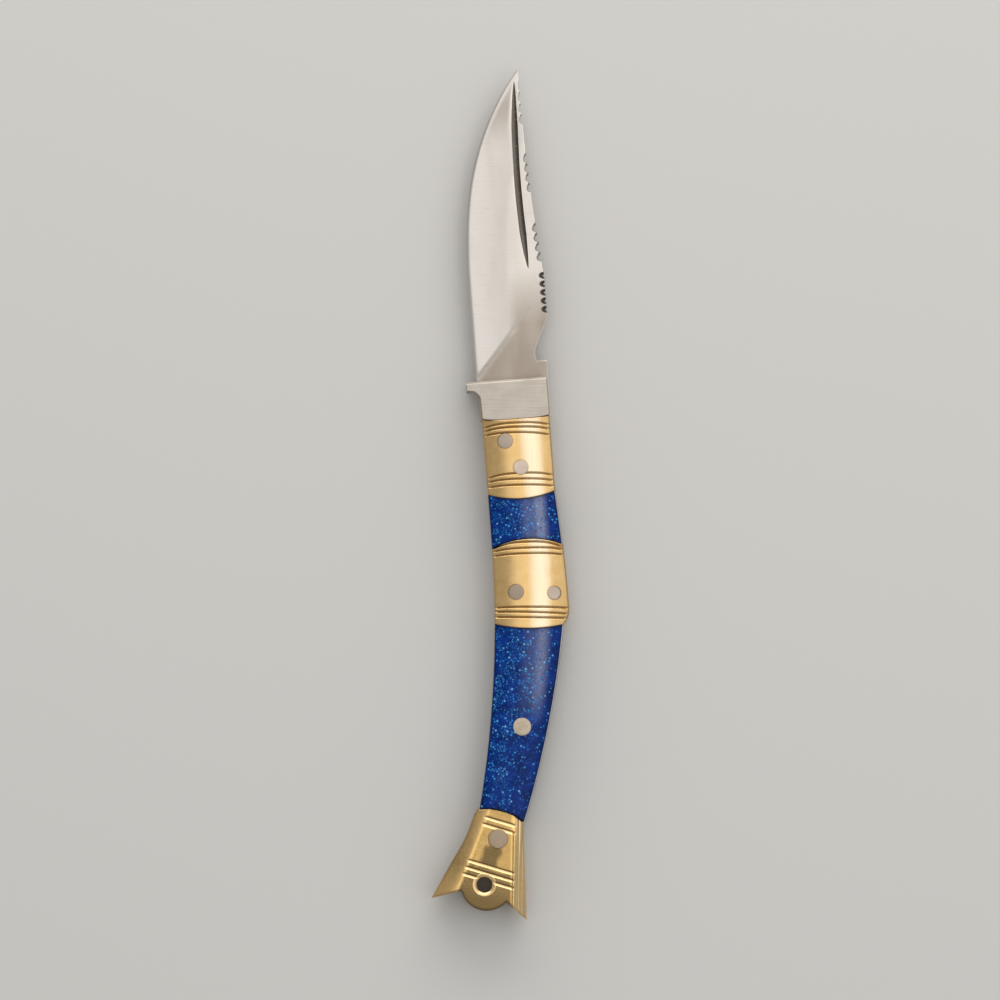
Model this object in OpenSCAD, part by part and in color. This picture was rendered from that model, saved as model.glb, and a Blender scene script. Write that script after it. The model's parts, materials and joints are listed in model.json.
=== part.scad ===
// Folding pocket knife with a clip blade, brass bolsters and acrylic scales.
// The parts are drawn about the pivot: +Y points to the blade's tip, +X to the
// spine and the back of the handle, +Z out of the front side. The finished
// knife is then moved so that the lanyard hole is at the origin.

/* [Main sizes] */
// Height of the blade's tip above the pivot
tip_y = 83.5; // [81:0.5:85]
// How far the lanyard hole lies beyond the closed blade's tip
hole_past_tip = 14.87; // [14.4:0.01:20]
// Thickness of the handle over its crowned sides
handle_t = 10.8; // [10:0.1:12]
// Edge side of the handle, left of the pivot
edge_side_x = -4.75; // [-5:0.05:-4.6]
// Back of the handle, right of the pivot
back_side_x = 10.35; // [10.1:0.05:10.6]

/* [Blade] */
// Thickness of the blade and its tang
blade_t = 2.4; // [2:0.1:3]
// Where the straight part of the cutting edge lies, left of the pivot
edge_x = -5.45; // [-5.8:0.05:-5]
// Where the straight edge ends and the shallow curve starts
belly_y = 37; // [34:0.5:40]
// Radius of the shallow curve
shallow_r = 110; // [95:1:130]
// Height of the shallow curve's end above its start
shallow_h = 16; // [13:0.5:18]
// Height of the heel, where the edge starts
heel_y = 14.95; // [14.6:0.05:16]
// How far the ricasso's edge side stands in from the cutting edge
heel_in = 0.29; // [0.1:0.01:0.5]
// Height of the little slope from the ricasso out to the heel
heel_slope = 1.05; // [0.6:0.05:1.5]
// Width of the fine bevel along the edge
edge_bevel_w = 0.45; // [0.3:0.05:0.8]
// Thickness of the blade just behind the fine bevel
edge_bevel_t = 0.44; // [0.3:0.02:0.7]
// Width of the ground side above the edge
grind_w = 9; // [7:0.5:11]
// Slope of the plunge line, where the grinding stops, to the blade's axis
plunge_angle = 49.6; // [40:1:60]
// How far below the heel the plunge line meets the cutting edge's line
plunge_drop = 1.7; // [1:0.1:2.2]
// How far the plunge runs out from the flat to the middle of the blade
plunge_run = 1.4; // [0.5:0.1:2.5]

/* [Spine] */
// Place of the straight spine behind the clip, right of the pivot
spine_x = 11.6; // [11.2:0.1:12]
// Radius of the hollow clip
clip_r = 438; // [400:1:500]
// How far behind the tip the clip is narrowest
clip_back = 2; // [0:0.5:4]
// How far the clip lies right of the pivot at its narrowest
clip_x = 9.3; // [8.9:0.1:9.6]
// Radius of the file that cuts the three rows of notches along the clip
clip_file_r = 1.3; // [1.1:0.05:1.5]
// Height of the lowest notch of the row near the tip
tip_row_y = 71.3; // [70.5:0.1:72]
// Pitch of the row near the tip
tip_row_pitch = 2.95; // [2.6:0.05:3.2]
// Depth of the row near the tip
tip_row_depth = 0.42; // [0.3:0.05:0.7]
// Height of the lowest notch of the middle row
mid_row_y = 56.3; // [55.5:0.1:57.5]
// Pitch of the middle row
mid_row_pitch = 2.08; // [1.9:0.02:2.3]
// Depth of the middle row
mid_row_depth = 0.65; // [0.5:0.05:0.9]
// Height of the lowest notch of the low row
low_row_y = 40.6; // [40:0.1:42]
// Pitch of the low row
low_row_pitch = 2.2; // [2:0.05:2.4]
// Depth of the low row
low_row_depth = 0.85; // [0.6:0.05:1.1]
// Radius of the round notches under the thumb
thumb_file_r = 0.72; // [0.5:0.02:0.8]
// Height of the lowest notch under the thumb
thumb_row_y = 28.9; // [28.6:0.1:29.3]
// Pitch of the notches under the thumb
thumb_row_pitch = 1.9; // [1.75:0.05:2]

// Back of the ricasso, right of the pivot
ricasso_x = 10.75; // [10.5:0.05:11]
// Height of the step behind the ricasso
step_y = 17.5; // [16.8:0.1:18]
// Bottom of the step, right of the pivot
step_x = 8.3; // [7.8:0.05:9]
// Width of the bevel in the step's inner corner
step_corner = 0.35; // [0.1:0.05:0.6]
// Height where the ramp leaves the bottom of the step
ramp_low_y = 20.1; // [19:0.1:21]
// Height where the ramp reaches the spine
ramp_high_y = 26.9; // [26:0.1:27.5]
// How far the notches under the thumb are centred inside the spine
thumb_row_in = 0.15; // [0:0.01:0.3]

/* [Fuller] */
// Radius of the round cutter that makes the groove
fuller_r = 0.72; // [0.5:0.02:0.9]
// Radius of the groove's bow along the blade
fuller_bow_r = 244; // [235:1:260]
// Place of the groove's bow, right of the pivot
fuller_x = 7.28; // [7:0.02:7.6]
// Height of the middle of the bow
fuller_y = 59.2; // [57:0.2:61]
// Height where the groove has its full width below
fuller_low_y = 42; // [41:0.2:44]
// Height where the groove has its full width above
fuller_high_y = 78.4; // [76:0.2:79]
// Length of each pointed run-out
fuller_point = 3.4; // [2.5:0.1:4.5]
// Depth of the groove at its lower end
fuller_depth = 0.6; // [0.3:0.05:0.8]
// Fall of the groove's floor towards the tip, in degrees
fuller_fall = 0.62; // [0.4:0.02:0.7]
// Radius at the end of each run-out
fuller_point_r = 0.05; // [0.03:0.01:0.1]

/* [Tang and pivot] */
// Distance from the pivot to each of the tang's three flats
tang_flat = 4.6; // [4.2:0.1:4.8]
// Reach of the tang's corners from the pivot
tang_reach = 5.5; // [5.2:0.1:5.7]
// Height of the shoulder that stops against the spring's end
shoulder_y = 5; // [4.6:0.1:5.6]
// Radius of the pivot pin
pivot_r = 1.63; // [1.4:0.01:1.8]
// Radial running clearance of the pivot in the tang
pivot_clear = 0.05; // [0.02:0.01:0.08]
// Clearance between the tang and each liner
side_clear = 0.05; // [0.03:0.01:0.1]
// Clearance between the spring's nose and the tang
nose_clear = 0.04; // [0.03:0.01:0.1]
// Clearance between the closed edge and the backspring
bay_clear = 0.65; // [0.5:0.05:0.9]
// Room beyond the closed tip
tip_room = 1.2; // [0.8:0.1:1.4]
// How far below the pivot the spring's nose ends
nose_y = 2.6; // [2.2:0.1:3]

/* [Handle] */
// Radius of the crown across the handle
crown_r = 19.5; // [17:0.5:24]
// Thickness of each liner
liner_t = 1; // [0.8:0.05:1.2]
// How far the liners stand past the acrylic
liner_lip = 0.3; // [0.15:0.05:0.5]
// Middle of the crown, right of the pivot
crown_x = 3.05; // [2.8:0.05:3.3]
// Where the crown starts to bend
crown_bend_y = -23; // [-25:0.5:-22.5]
// Radius of the crown's bend through the middle bolster
crown_bend_r = 160; // [150:1:170]
// Turn of that bend, in degrees
crown_bend_turn = 6.8; // [6.4:0.1:7.2]
// Radius of the crown's wider bend through the rear scale
crown_rear_r = 220; // [200:1:240]
// Where the edge side starts to bend
edge_bend_y = -21.7; // [-24:0.1:-20]
// Radius of the edge side's bend
edge_bend_r = 250; // [235:1:265]
// Height of the swell at the back
swell_y = -38.1; // [-38.6:0.1:-37]
// How far the swell stands past the straight back
swell_out = 1.14; // [0.8:0.02:1.3]
// Radius of the long curve that leads into the swell
swell_r = 320; // [290:1:350]
// Radius of the knuckle that ends the swell
knuckle_r = 5.2; // [4.6:0.1:6]
// Radius of the back's bend behind the swell
back_bend_r = 217.6; // [205:0.2:230]
// Place of the back's bend, right of the pivot
back_bend_x = 13; // [12.8:0.05:13.2]
// Height at which the back's bend starts
back_bend_y = -5.6; // [-8:0.1:-4]

/* [Guard] */
// Height of the guard's front edge above the pivot
guard_front_y = 13.5; // [13.2:0.1:13.9]
// Height of the guard's rear edge above the pivot
guard_rear_y = 5.3; // [4.9:0.1:5.7]
// Height of the guard above its liner
guard_h = 2.5; // [2:0.1:3]
// How far the quillon stands out
quillon_out = 2.95; // [2.5:0.05:3.5]
// Radius of the hollow under the quillon
quillon_r = 2.3; // [2:0.1:2.6]
// How far below the guard's front edge the hollow is centred
quillon_drop = 4.1; // [3.6:0.1:4.6]
// Width of the bevel along the guard's front edge
guard_bevel = 0.5; // [0.3:0.05:0.8]
// Steel left over the hidden guard rivets
guard_cover = 1; // [0.6:0.1:1.4]

/* [Bolsters and scales] */
// Middle of the front bolster's rear edge
front_bolster_end_y = -13.2; // [-14:0.1:-12.8]
// Radius of that edge
front_bolster_end_r = 21; // [18:1:26]
// Middle of the middle bolster's front edge
middle_start_y = -22.15; // [-23:0.05:-21.5]
// Radius of that edge
middle_start_r = 20; // [18:1:26]
// Middle of the middle bolster's rear edge
middle_end_y = -42.3; // [-43:0.05:-41.8]
// Radius of that edge
middle_end_r = 31.4; // [28:0.2:36]
// Lowest point of that edge, right of the pivot
middle_end_x = 4.66; // [4.4:0.02:5]
// Width of the engraved lines
line_w = 0.45; // [0.3:0.05:0.6]
// Depth of the engraved lines
line_depth = 0.28; // [0.15:0.01:0.4]
// Pitch of the engraved lines
line_pitch = 1.2; // [1:0.05:1.4]
// First line of the front bolster, in from its front edge
front_lines_in = 1.45; // [1.2:0.05:1.8]
// Last line of the front bolster, in from its rear edge
front_lines_out = 2.9; // [2.6:0.05:3.2]
// Curved line of the middle bolster, in from its front edge
middle_arc_in = 0.7; // [0.5:0.05:0.9]
// First straight line of the middle bolster, in from its front edge
middle_lines_in = 2.15; // [1.9:0.05:2.4]
// Last line of the middle bolster, in from its rear edge
middle_lines_out = 2.3; // [2:0.05:2.6]
// Slope of the lines at the middle bolster's rear end, in degrees
middle_lines_turn = 4.4; // [3:0.1:6]

/* [Tail] */
// How far the lanyard hole lies inside the bend of the handle's edge side
hole_in = 4.637; // [4.4:0.001:4.9]
// Radius of the lanyard hole
hole_r = 1.77; // [1.4:0.01:2]
// Width of the chamfer round the lanyard hole
hole_chamfer = 0.45; // [0.2:0.05:0.6]
// Turn of the tail from the handle's axis, in degrees
tail_turn = 21; // [19:0.5:23]
// Radius of the round lobe about the lanyard hole
lobe_r = 5.8; // [5.5:0.1:6.2]
// Half width over the fins
fin_x = 10.9; // [10:0.1:12]
// How far the fins reach past the lanyard hole
fin_y = 5.4; // [4.5:0.1:6.5]
// Half width of the waist, where the tail is narrowest
waist_x = 6.8; // [6.6:0.1:7]
// Height of the waist above the lanyard hole
waist_y = 8.8; // [8:0.1:9.6]
// Half width of the hip, where the edge side turns towards the handle
hip_x = 6.6; // [6.5:0.05:6.7]
// Height of the hip above the lanyard hole
hip_y = 14.6; // [14:0.1:15]
// Half width where the tail leaves the handle's edge side
neck_edge_x = 5.9; // [5.8:0.05:6]
// Height of that place above the lanyard hole
neck_edge_y = 16.6; // [16.2:0.1:17]
// Half width where the tail leaves the handle's back
neck_back_x = 4.4; // [4:0.1:4.8]
// Height of that place above the lanyard hole
neck_back_y = 15.8; // [15:0.1:16.4]
// How far below the hole each fin leaves the round lobe
fin_root_y = 2.4; // [2:0.1:3]
// Height of the tail's flat above the liner
tail_h = 2.95; // [2.6:0.05:3.1]
// Slope of the wide flank on the edge side, in degrees
edge_flank = 24; // [18:1:28]
// Slope of the narrow flank at the back, in degrees
back_flank = 48; // [40:1:55]
// Half width of the flat at the hole, edge side
flat_edge_low = 5.63; // [5.3:0.01:6]
// Half width of the flat at its upper end, edge side
flat_edge_high = 4.41; // [4.1:0.01:4.7]
// Half width of the flat at the hole, back side
flat_back_low = 6.77; // [6.4:0.01:7]
// Half width of the flat at its upper end, back side
flat_back_high = 2.57; // [2.3:0.01:2.9]
// Height of the flat's upper end above the hole
flat_high_y = 15; // [14:0.1:16]
// Lowest engraved line, above the hole
low_lines_y = 1.06; // [0.8:0.02:1.4]
// Highest engraved line, above the hole
high_lines_y = 14.55; // [14.2:0.05:14.8]
// Pitch of the tail's engraved lines
tail_line_pitch = 1.6; // [1.4:0.05:1.7]
// Radius of the arc where the tail meets the rear scale
tail_arc_r = 13.4; // [13:0.1:14]
// Height of that arc's centre above the hole
tail_arc_y = 3.56; // [3.2:0.02:3.9]
// That arc's centre, edge side of the tail's axis
tail_arc_x = 0.56; // [0.4:0.02:0.8]

/* [Pins] */
// How far the front rivets lie below the pivot
front_rivet_y = 6.14; // [5.6:0.02:6.6]
// How far the middle rivets lie below the pivot
middle_rivet_y = 33.84; // [33:0.02:34.6]
// How far the middle rivets lie on the edge side of the crown's middle
middle_rivet_in = 2.86; // [2.5:0.02:3.2]
// How far the spring pin lies below the pivot
spring_pin_y = 34.67; // [34:0.01:35.4]
// How far the spring pin lies on the back side of the crown's middle
spring_pin_out = 5.77; // [5.4:0.01:6]
// Place of the white rivets between the middle bolster and the tail, as a share
scale_rivet_share = 0.552; // [0.4:0.002:0.7]
// How far the white rivets lie on the back side of the crown's middle
scale_rivet_out = 0.77; // [0.4:0.01:1]
// Height of the tail pin above the lanyard hole
tail_pin_y = 10.63; // [10:0.01:11]
// How far the guard rivets lie in from the guard's sides
guard_rivet_in = 3.55; // [3:0.05:4.5]
// Radius of the front rivets
front_rivet_r = 1.6; // [1.3:0.05:1.8]
// Radius of the middle rivets
middle_rivet_r = 1.68; // [1.3:0.02:1.8]
// Radius of the spring pin
spring_pin_r = 1.48; // [1.2:0.02:1.6]
// Radius of the white scale rivets
scale_rivet_r = 2; // [1.7:0.05:2.2]
// How far the white rivets stand proud
scale_rivet_proud = 0.25; // [0.1:0.05:0.4]
// Radius of the tail pin
tail_pin_r = 2.1; // [1.7:0.05:2.2]
// Radius of the hidden guard rivets
guard_rivet_r = 0.9; // [0.7:0.05:1.1]

/* [Hidden] */
$fn = 180;

// Levels above the knife's middle plane
slot_z = blade_t / 2 + side_clear;
seat_z = slot_z + liner_t;
top_z = handle_t / 2;
tail_z = seat_z + tail_h;
guard_z = seat_z + guard_h;
// Longer than anything that is cut
far = 60;
// Overshoot of a cutter past the face it cuts
over = 0.5;
// Overlap of two shapes where one only touches the other
bite = 0.05;
// How far the acrylic's blank runs under the rounded ends of the brass
inlay_end = 5;

// The edge is a straight line, a shallow arc and a belly that ends at the tip,
// each tangent to the next
clip_y = tip_y - clip_back;
tip = [clip_at(tip_y), tip_y];
shallow_turn = asin(shallow_h / shallow_r);
shallow_in = [cos(shallow_turn), -sin(shallow_turn)];
shallow_c = [edge_x + shallow_r, belly_y];
shallow_end = shallow_c - shallow_r * shallow_in;
belly_chord = tip - shallow_end;
belly_r = belly_chord * belly_chord / (2 * belly_chord * shallow_in);
belly_c = shallow_end + belly_r * shallow_in;
belly_turn = atan2(tip[1] - belly_c[1], belly_c[0] - tip[0]) - shallow_turn;
// Turn by which the grinding runs on past the tip
past_tip = 4;
// Overlap of each stretch of the grinding with the next, in mm or degrees
grind_lap = 0.01;

// Lanyard hole and the lower end of the grip inside the tail
hole_y = -tip_y - hole_past_tip;
hole = [edge_side_at(hole_y) + hole_in, hole_y];
grip_low_y = hole_y + waist_y;

// The crown runs straight down to the middle bolster, bends through it and then
// follows the rear scale along a wider arc
crown_bend_c = [crown_x - crown_bend_r, crown_bend_y];
crown_rear_c = crown_bend_c
  + (crown_bend_r - crown_rear_r) * [cos(crown_bend_turn), -sin(crown_bend_turn)];
crown_rear_end = asin((crown_rear_c[1] - hole_y) / crown_rear_r);
// Overlap of the crown's three stretches, in degrees
crown_lap = 1;

// Centre and upper end of the tail's boundary arc
tail_arc_c = tail_point(-tail_arc_x, tail_arc_y);
tail_top_y = tail_arc_c[1] + tail_arc_r;

// Places of the pins about the pivot
front_rivet = [crown_x, -front_rivet_y];
middle_rivet = [crown_at(-middle_rivet_y) - middle_rivet_in, -middle_rivet_y];
spring_pin_at = [crown_at(-spring_pin_y) + spring_pin_out, -spring_pin_y];
scale_rivet_y = middle_end_y + scale_rivet_share * (tail_top_y - middle_end_y);
scale_rivet = [rear_crown_at(scale_rivet_y) + scale_rivet_out, scale_rivet_y];
tail_pin_at = tail_point(0, tail_pin_y);
guard_middle_y = (guard_front_y + guard_rear_y) / 2;
guard_rivets_at = [
  [edge_side_x + guard_rivet_in, guard_middle_y],
  [back_side_x - guard_rivet_in, guard_middle_y]
];

// Where the hollow clip lies at a height
function clip_at(y) = clip_x + clip_r - sqrt(clip_r * clip_r - (y - clip_y) * (y - clip_y));

// Where the bend of the handle's edge side lies at a height
function edge_side_at(y) = edge_side_x - edge_bend_r
  + sqrt(edge_bend_r * edge_bend_r - (y - edge_bend_y) * (y - edge_bend_y));

// Where the middle of the crown lies at a height, in its bend and behind it
function crown_at(y) = crown_bend_c[0]
  + sqrt(crown_bend_r * crown_bend_r - (y - crown_bend_y) * (y - crown_bend_y));
function rear_crown_at(y) = crown_rear_c[0]
  + sqrt(crown_rear_r * crown_rear_r - (y - crown_rear_c[1]) * (y - crown_rear_c[1]));

// A point given across and up the tail's own axis from the lanyard hole
function tail_point(across, up) = hole + [
  across * cos(tail_turn) + up * sin(tail_turn),
  up * cos(tail_turn) - across * sin(tail_turn)
];

// Half widths of the tail's flat at a height above the hole
function flat_edge_at(y) = flat_edge_low + (flat_edge_high - flat_edge_low) * y / flat_high_y;
function flat_back_at(y) = flat_back_low + (flat_back_high - flat_back_low) * y / flat_high_y;

// Blade

// Section of what the grinding takes off: everything outside the cutting edge,
// and a wedge on each side behind it; the edge is on the axis
module grind_waste() {
  clear = blade_t / 2 + over;
  polygon([
    [0, 0], [edge_bevel_w, edge_bevel_t / 2], [grind_w, blade_t / 2], [grind_w, clear],
    [-far / 2, clear], [-far / 2, -clear],
    [grind_w, -clear], [grind_w, -blade_t / 2], [edge_bevel_w, -edge_bevel_t / 2]
  ]);
}

// That section swept round an arc of the edge, from the angle where it starts
module grind_arc(centre, radius, start, turn) {
  translate(centre)
    rotate([0, 0, 180 - start - turn - grind_lap])
      rotate_extrude(angle = turn + grind_lap)
        translate([radius, 0]) mirror([1, 0]) grind_waste();
}

// All that is ground off along the cutting edge, from below the heel to past the tip
module grinding() {
  translate([edge_x, belly_y + grind_lap, 0])
    rotate([90, 0, 0]) linear_extrude(belly_y - shoulder_y) grind_waste();
  grind_arc(shallow_c, shallow_r, 0, shallow_turn);
  grind_arc(belly_c, belly_r, shallow_turn, belly_turn + past_tip);
}

// Outline of the blade on the spine side, with the hollow clip and the step
// behind the ricasso; on the edge side it keeps some spare metal to grind off
module blade_outline() {
  spare_x = edge_x - grind_w / 4;
  difference() {
    polygon([
      [edge_x + heel_in, shoulder_y], [edge_x + heel_in, heel_y - heel_slope],
      [edge_x, heel_y], [spare_x, heel_y + grind_w], [spare_x, tip_y + over],
      [spine_x, tip_y + over], [spine_x, ramp_high_y], [step_x, ramp_low_y],
      [step_x, step_y + step_corner], [step_x + step_corner, step_y],
      [ricasso_x, step_y], [ricasso_x, shoulder_y]
    ]);
    translate([clip_x + clip_r, clip_y]) circle(clip_r, $fn = 720);
  }
}

// Full-thickness ricasso that runs out along the sloping plunge line
module ricasso_block() {
  translate([edge_x, heel_y - plunge_drop, 0])
    rotate([0, 0, plunge_angle])
      translate([-far / 2, 0, 0])
        rotate([90, 0, 90])
          linear_extrude(far)
            polygon([
              [-far, -blade_t], [0, -blade_t], [0, -blade_t / 2], [plunge_run, 0],
              [0, blade_t / 2], [0, blade_t], [-far, blade_t]
            ]);
}

// Row of round file cuts up the clip, their bottoms one depth inside it
module clip_row(low, pitch, depth, count) {
  for (y = [low : pitch : low + (count - 0.5) * pitch])
    translate([clip_at(y) + clip_file_r - depth, y]) circle(clip_file_r);
}

// The four rows of notches filed into the spine
module spine_cuts() {
  clip_row(tip_row_y, tip_row_pitch, tip_row_depth, 3);
  clip_row(mid_row_y, mid_row_pitch, mid_row_depth, 4);
  clip_row(low_row_y, low_row_pitch, low_row_depth, 4);
  for (i = [0:4])
    translate([spine_x - thumb_row_in, thumb_row_y + i * thumb_row_pitch])
      circle(thumb_file_r);
}

// Fuller: a round groove bowed along the spine, deeper towards the thin tip,
// with a pointed run-out at each end
module fuller() {
  bow_c = [fuller_x + fuller_bow_r, fuller_y];
  low_turn = asin((bow_c[1] - fuller_low_y) / fuller_bow_r);
  high_turn = asin((fuller_high_y - bow_c[1]) / fuller_bow_r);
  translate([0, fuller_low_y, blade_t / 2 - fuller_depth + fuller_r])
    rotate([-fuller_fall, 0, 0])
      translate([bow_c[0], bow_c[1] - fuller_low_y, 0]) {
        rotate([0, 0, 180 - high_turn])
          rotate_extrude(angle = high_turn + low_turn)
            translate([fuller_bow_r, 0]) circle(fuller_r, $fn = 48);
        rotate([0, 0, 180 + low_turn]) translate([fuller_bow_r, 0, 0])
          rotate([-90, 0, 0]) fuller_end();
        rotate([0, 0, 180 - high_turn]) translate([fuller_bow_r, 0, 0])
          rotate([90, 0, 0]) fuller_end();
      }
}

// Pointed run-out of the fuller
module fuller_end() {
  cylinder(h = fuller_point, r1 = fuller_r, r2 = fuller_point_r, $fn = 48);
}

// Tang: a square about the pivot, its corners rounded to one reach
module tang_outline() {
  intersection() {
    square(2 * tang_flat, center = true);
    circle(tang_reach);
  }
  translate([-tang_flat, 0]) square([2 * tang_flat, shoulder_y + over]);
}

module blade() {
  color("gainsboro")
    difference() {
      union() {
        difference() {
          linear_extrude(blade_t, center = true) blade_outline();
          difference() {
            grinding();
            ricasso_block();
          }
        }
        linear_extrude(blade_t, center = true) tang_outline();
      }
      linear_extrude(blade_t + 2 * over, center = true) spine_cuts();
      fuller();
      mirror([0, 0, 1]) fuller();
      cylinder(h = blade_t + 2 * over, r = pivot_r + pivot_clear, center = true);
    }
}

// Handle outline

// Everything that lies between two heights
module band(low, high) {
  translate([-far, low]) square([2 * far, high - low]);
}

// Guard with the quillon on the edge side
module guard_plan() {
  quillon_x = edge_side_x - quillon_out;
  hollow = [edge_side_x - quillon_r + bite, guard_front_y - quillon_drop];
  translate([edge_side_x, guard_rear_y])
    square([back_side_x - edge_side_x, guard_front_y - guard_rear_y]);
  difference() {
    translate([quillon_x, hollow[1]])
      square([quillon_out + over, guard_front_y - hollow[1]]);
    translate(hollow) circle(quillon_r);
  }
}

// Grip from the guard's rear edge to the start of the tail; trim takes the
// same width off both sides
module grip_plan(trim = 0) {
  swell_x = back_side_x + swell_out;
  translate([edge_side_x + trim, edge_bend_y])
    square([back_side_x - edge_side_x - 2 * trim, guard_rear_y - edge_bend_y]);
  difference() {
    intersection() {
      union() {
        intersection() {
          translate([swell_x - swell_r, swell_y]) circle(swell_r - trim, $fn = 720);
          union() {
            band(swell_y, edge_bend_y);
            translate([0, swell_y]) square([far, guard_rear_y - swell_y]);
          }
        }
        intersection() {
          translate([swell_x - knuckle_r, swell_y]) circle(knuckle_r - trim);
          band(swell_y - far, swell_y);
        }
        intersection() {
          translate([back_bend_x - back_bend_r, back_bend_y])
            circle(back_bend_r - trim, $fn = 720);
          band(grip_low_y, swell_y);
        }
      }
      band(grip_low_y, 0);
    }
    translate([edge_side_x - edge_bend_r, edge_bend_y])
      circle(edge_bend_r + trim, $fn = 720);
  }
}

// Fish tail, drawn about the lanyard hole with its own axis up
module tail_plan() {
  root_x = sqrt(lobe_r * lobe_r - fin_root_y * fin_root_y) - bite;
  translate(hole) rotate([0, 0, -tail_turn]) {
    polygon([
      [-neck_edge_x, neck_edge_y], [-hip_x, hip_y], [-waist_x, waist_y], [-fin_x, -fin_y],
      [-root_x, -fin_root_y], [root_x, -fin_root_y], [fin_x, -fin_y],
      [neck_back_x, neck_back_y]
    ]);
    circle(lobe_r);
  }
}

// Part of the plan that belongs to the tail, behind its boundary arc
module tail_zone() {
  translate(tail_arc_c) circle(tail_arc_r);
  band(-2 * far, tail_arc_c[1]);
}

module front_end_disc() {
  translate([crown_x, front_bolster_end_y + front_bolster_end_r]) circle(front_bolster_end_r);
}

module middle_start_disc(inset = 0) {
  translate([crown_x, middle_start_y - middle_start_r]) circle(middle_start_r - inset);
}

module middle_end_disc(inset = 0) {
  translate([middle_end_x, middle_end_y + middle_end_r]) circle(middle_end_r - inset);
}

module whole_plan() {
  guard_plan();
  grip_plan();
  tail_plan();
}

// Crown

module front_crown(drop = 0) {
  translate([crown_x, guard_rear_y + 1, top_z - crown_r])
    rotate([90, 0, 0]) cylinder(h = far / 2, r = crown_r - drop);
}

module middle_crown(drop = 0) {
  translate(crown_bend_c)
    rotate([0, 0, -crown_bend_turn - crown_lap])
      rotate_extrude(angle = crown_bend_turn + 2 * crown_lap, $fn = 720)
        translate([crown_bend_r, top_z - crown_r]) circle(crown_r - drop);
}

module rear_crown(drop = 0) {
  translate(crown_rear_c)
    rotate([0, 0, -crown_rear_end])
      rotate_extrude(angle = crown_rear_end - crown_bend_turn + crown_lap, $fn = 720)
        translate([crown_rear_r, top_z - crown_r]) circle(crown_r - drop);
}

// Shared pieces

// Plate of the given plan between two levels
module plate(low, high) {
  translate([0, 0, low]) linear_extrude(high - low) children();
}

// Straight bar for an engraved line through a point, at a heading
module line_bar(at, heading, length) {
  translate([at[0], at[1], 0]) rotate([0, 0, heading])
    translate([-length / 2, -line_w / 2, 0]) cube([length, line_w, top_z + over]);
}

// Upright drill at a place
module drill(at, radius) {
  translate([at[0], at[1], -over]) cylinder(h = top_z + 2 * over, r = radius);
}

// Handle, front side

module backspring() {
  bay_x = -edge_x + bay_clear;
  color("silver")
    difference() {
      linear_extrude(2 * slot_z, center = true)
        difference() {
          intersection() {
            whole_plan();
            band(-2 * far, shoulder_y - nose_clear);
          }
          // Bay of the closed blade, an equal gap outside its edge
          translate([-far, -belly_y]) square([far + bay_x, belly_y - tang_reach]);
          intersection() {
            translate(-shallow_c) circle(shallow_r + bay_clear, $fn = 720);
            band(-belly_y - shallow_h, -belly_y);
          }
          intersection() {
            translate(-belly_c) circle(belly_r + bay_clear, $fn = 720);
            band(-tip_y - tip_room, -belly_y - shallow_h);
          }
          // Room for the tang in front of the nose
          polygon([
            [-far, -tang_reach], [bay_x, -tang_reach], [tang_flat + nose_clear, -nose_y],
            [tang_flat + nose_clear, far], [-far, far]
          ]);
        }
      translate(spring_pin_at) cylinder(h = far, r = spring_pin_r, center = true);
      translate(tail_pin_at) cylinder(h = far, r = tail_pin_r, center = true);
      translate(hole) cylinder(h = far, r = hole_r, center = true);
    }
}

module liner() {
  color("silver")
    difference() {
      plate(slot_z, seat_z) whole_plan();
      drill([0, 0], pivot_r);
      drill(front_rivet, front_rivet_r);
      drill(middle_rivet, middle_rivet_r);
      drill(spring_pin_at, spring_pin_r);
      drill(scale_rivet, scale_rivet_r);
      drill(tail_pin_at, tail_pin_r);
      drill(hole, hole_r);
      for (at = guard_rivets_at) drill(at, guard_rivet_r);
    }
}

module guard_bolster() {
  color("lightgray")
    difference() {
      plate(seat_z, guard_z) guard_plan();
      // Bevel along the front edge
      translate([0, guard_front_y, guard_z - guard_bevel])
        rotate([45, 0, 0]) translate([-far / 2, 0, -far / 4]) cube([far, far, far / 2]);
      for (at = guard_rivets_at)
        translate([at[0], at[1], 0]) cylinder(h = guard_z - guard_cover, r = guard_rivet_r);
    }
}

module front_bolster() {
  color("goldenrod")
    difference() {
      intersection() {
        plate(seat_z, top_z + over)
          intersection() {
            grip_plan();
            front_end_disc();
          }
        front_crown();
      }
      difference() {
        for (i = [0:2]) {
          line_bar([crown_x, guard_rear_y - front_lines_in - i * line_pitch], 0, far / 2);
          line_bar([crown_x, front_bolster_end_y + front_lines_out + i * line_pitch], 0, far / 2);
        }
        front_crown(line_depth);
      }
      drill([0, 0], pivot_r);
      drill(front_rivet, front_rivet_r);
    }
}

module front_inlay() {
  color("navy")
    intersection() {
      plate(seat_z, top_z + over)
        difference() {
          intersection() {
            grip_plan(liner_lip);
            band(middle_start_y - inlay_end, front_bolster_end_y + inlay_end);
          }
          front_end_disc();
          middle_start_disc();
        }
      front_crown();
    }
}

module middle_bolster() {
  color("goldenrod")
    difference() {
      intersection() {
        plate(seat_z, top_z + over)
          intersection() {
            grip_plan();
            middle_start_disc();
            middle_end_disc();
          }
        middle_crown();
      }
      difference() {
        union() {
          linear_extrude(top_z + over)
            difference() {
              middle_start_disc(middle_arc_in);
              middle_start_disc(middle_arc_in + line_w);
              band(-far, (middle_start_y + middle_end_y) / 2);
            }
          for (i = [0:1])
            line_bar([crown_x, middle_start_y - middle_lines_in - i * line_pitch], 0, far / 2);
          for (i = [0:2])
            line_bar(
              [crown_x, middle_end_y + middle_lines_out + i * line_pitch],
              -middle_lines_turn, far / 2
            );
        }
        middle_crown(line_depth);
      }
      drill(middle_rivet, middle_rivet_r);
      drill(spring_pin_at, spring_pin_r);
    }
}

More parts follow.
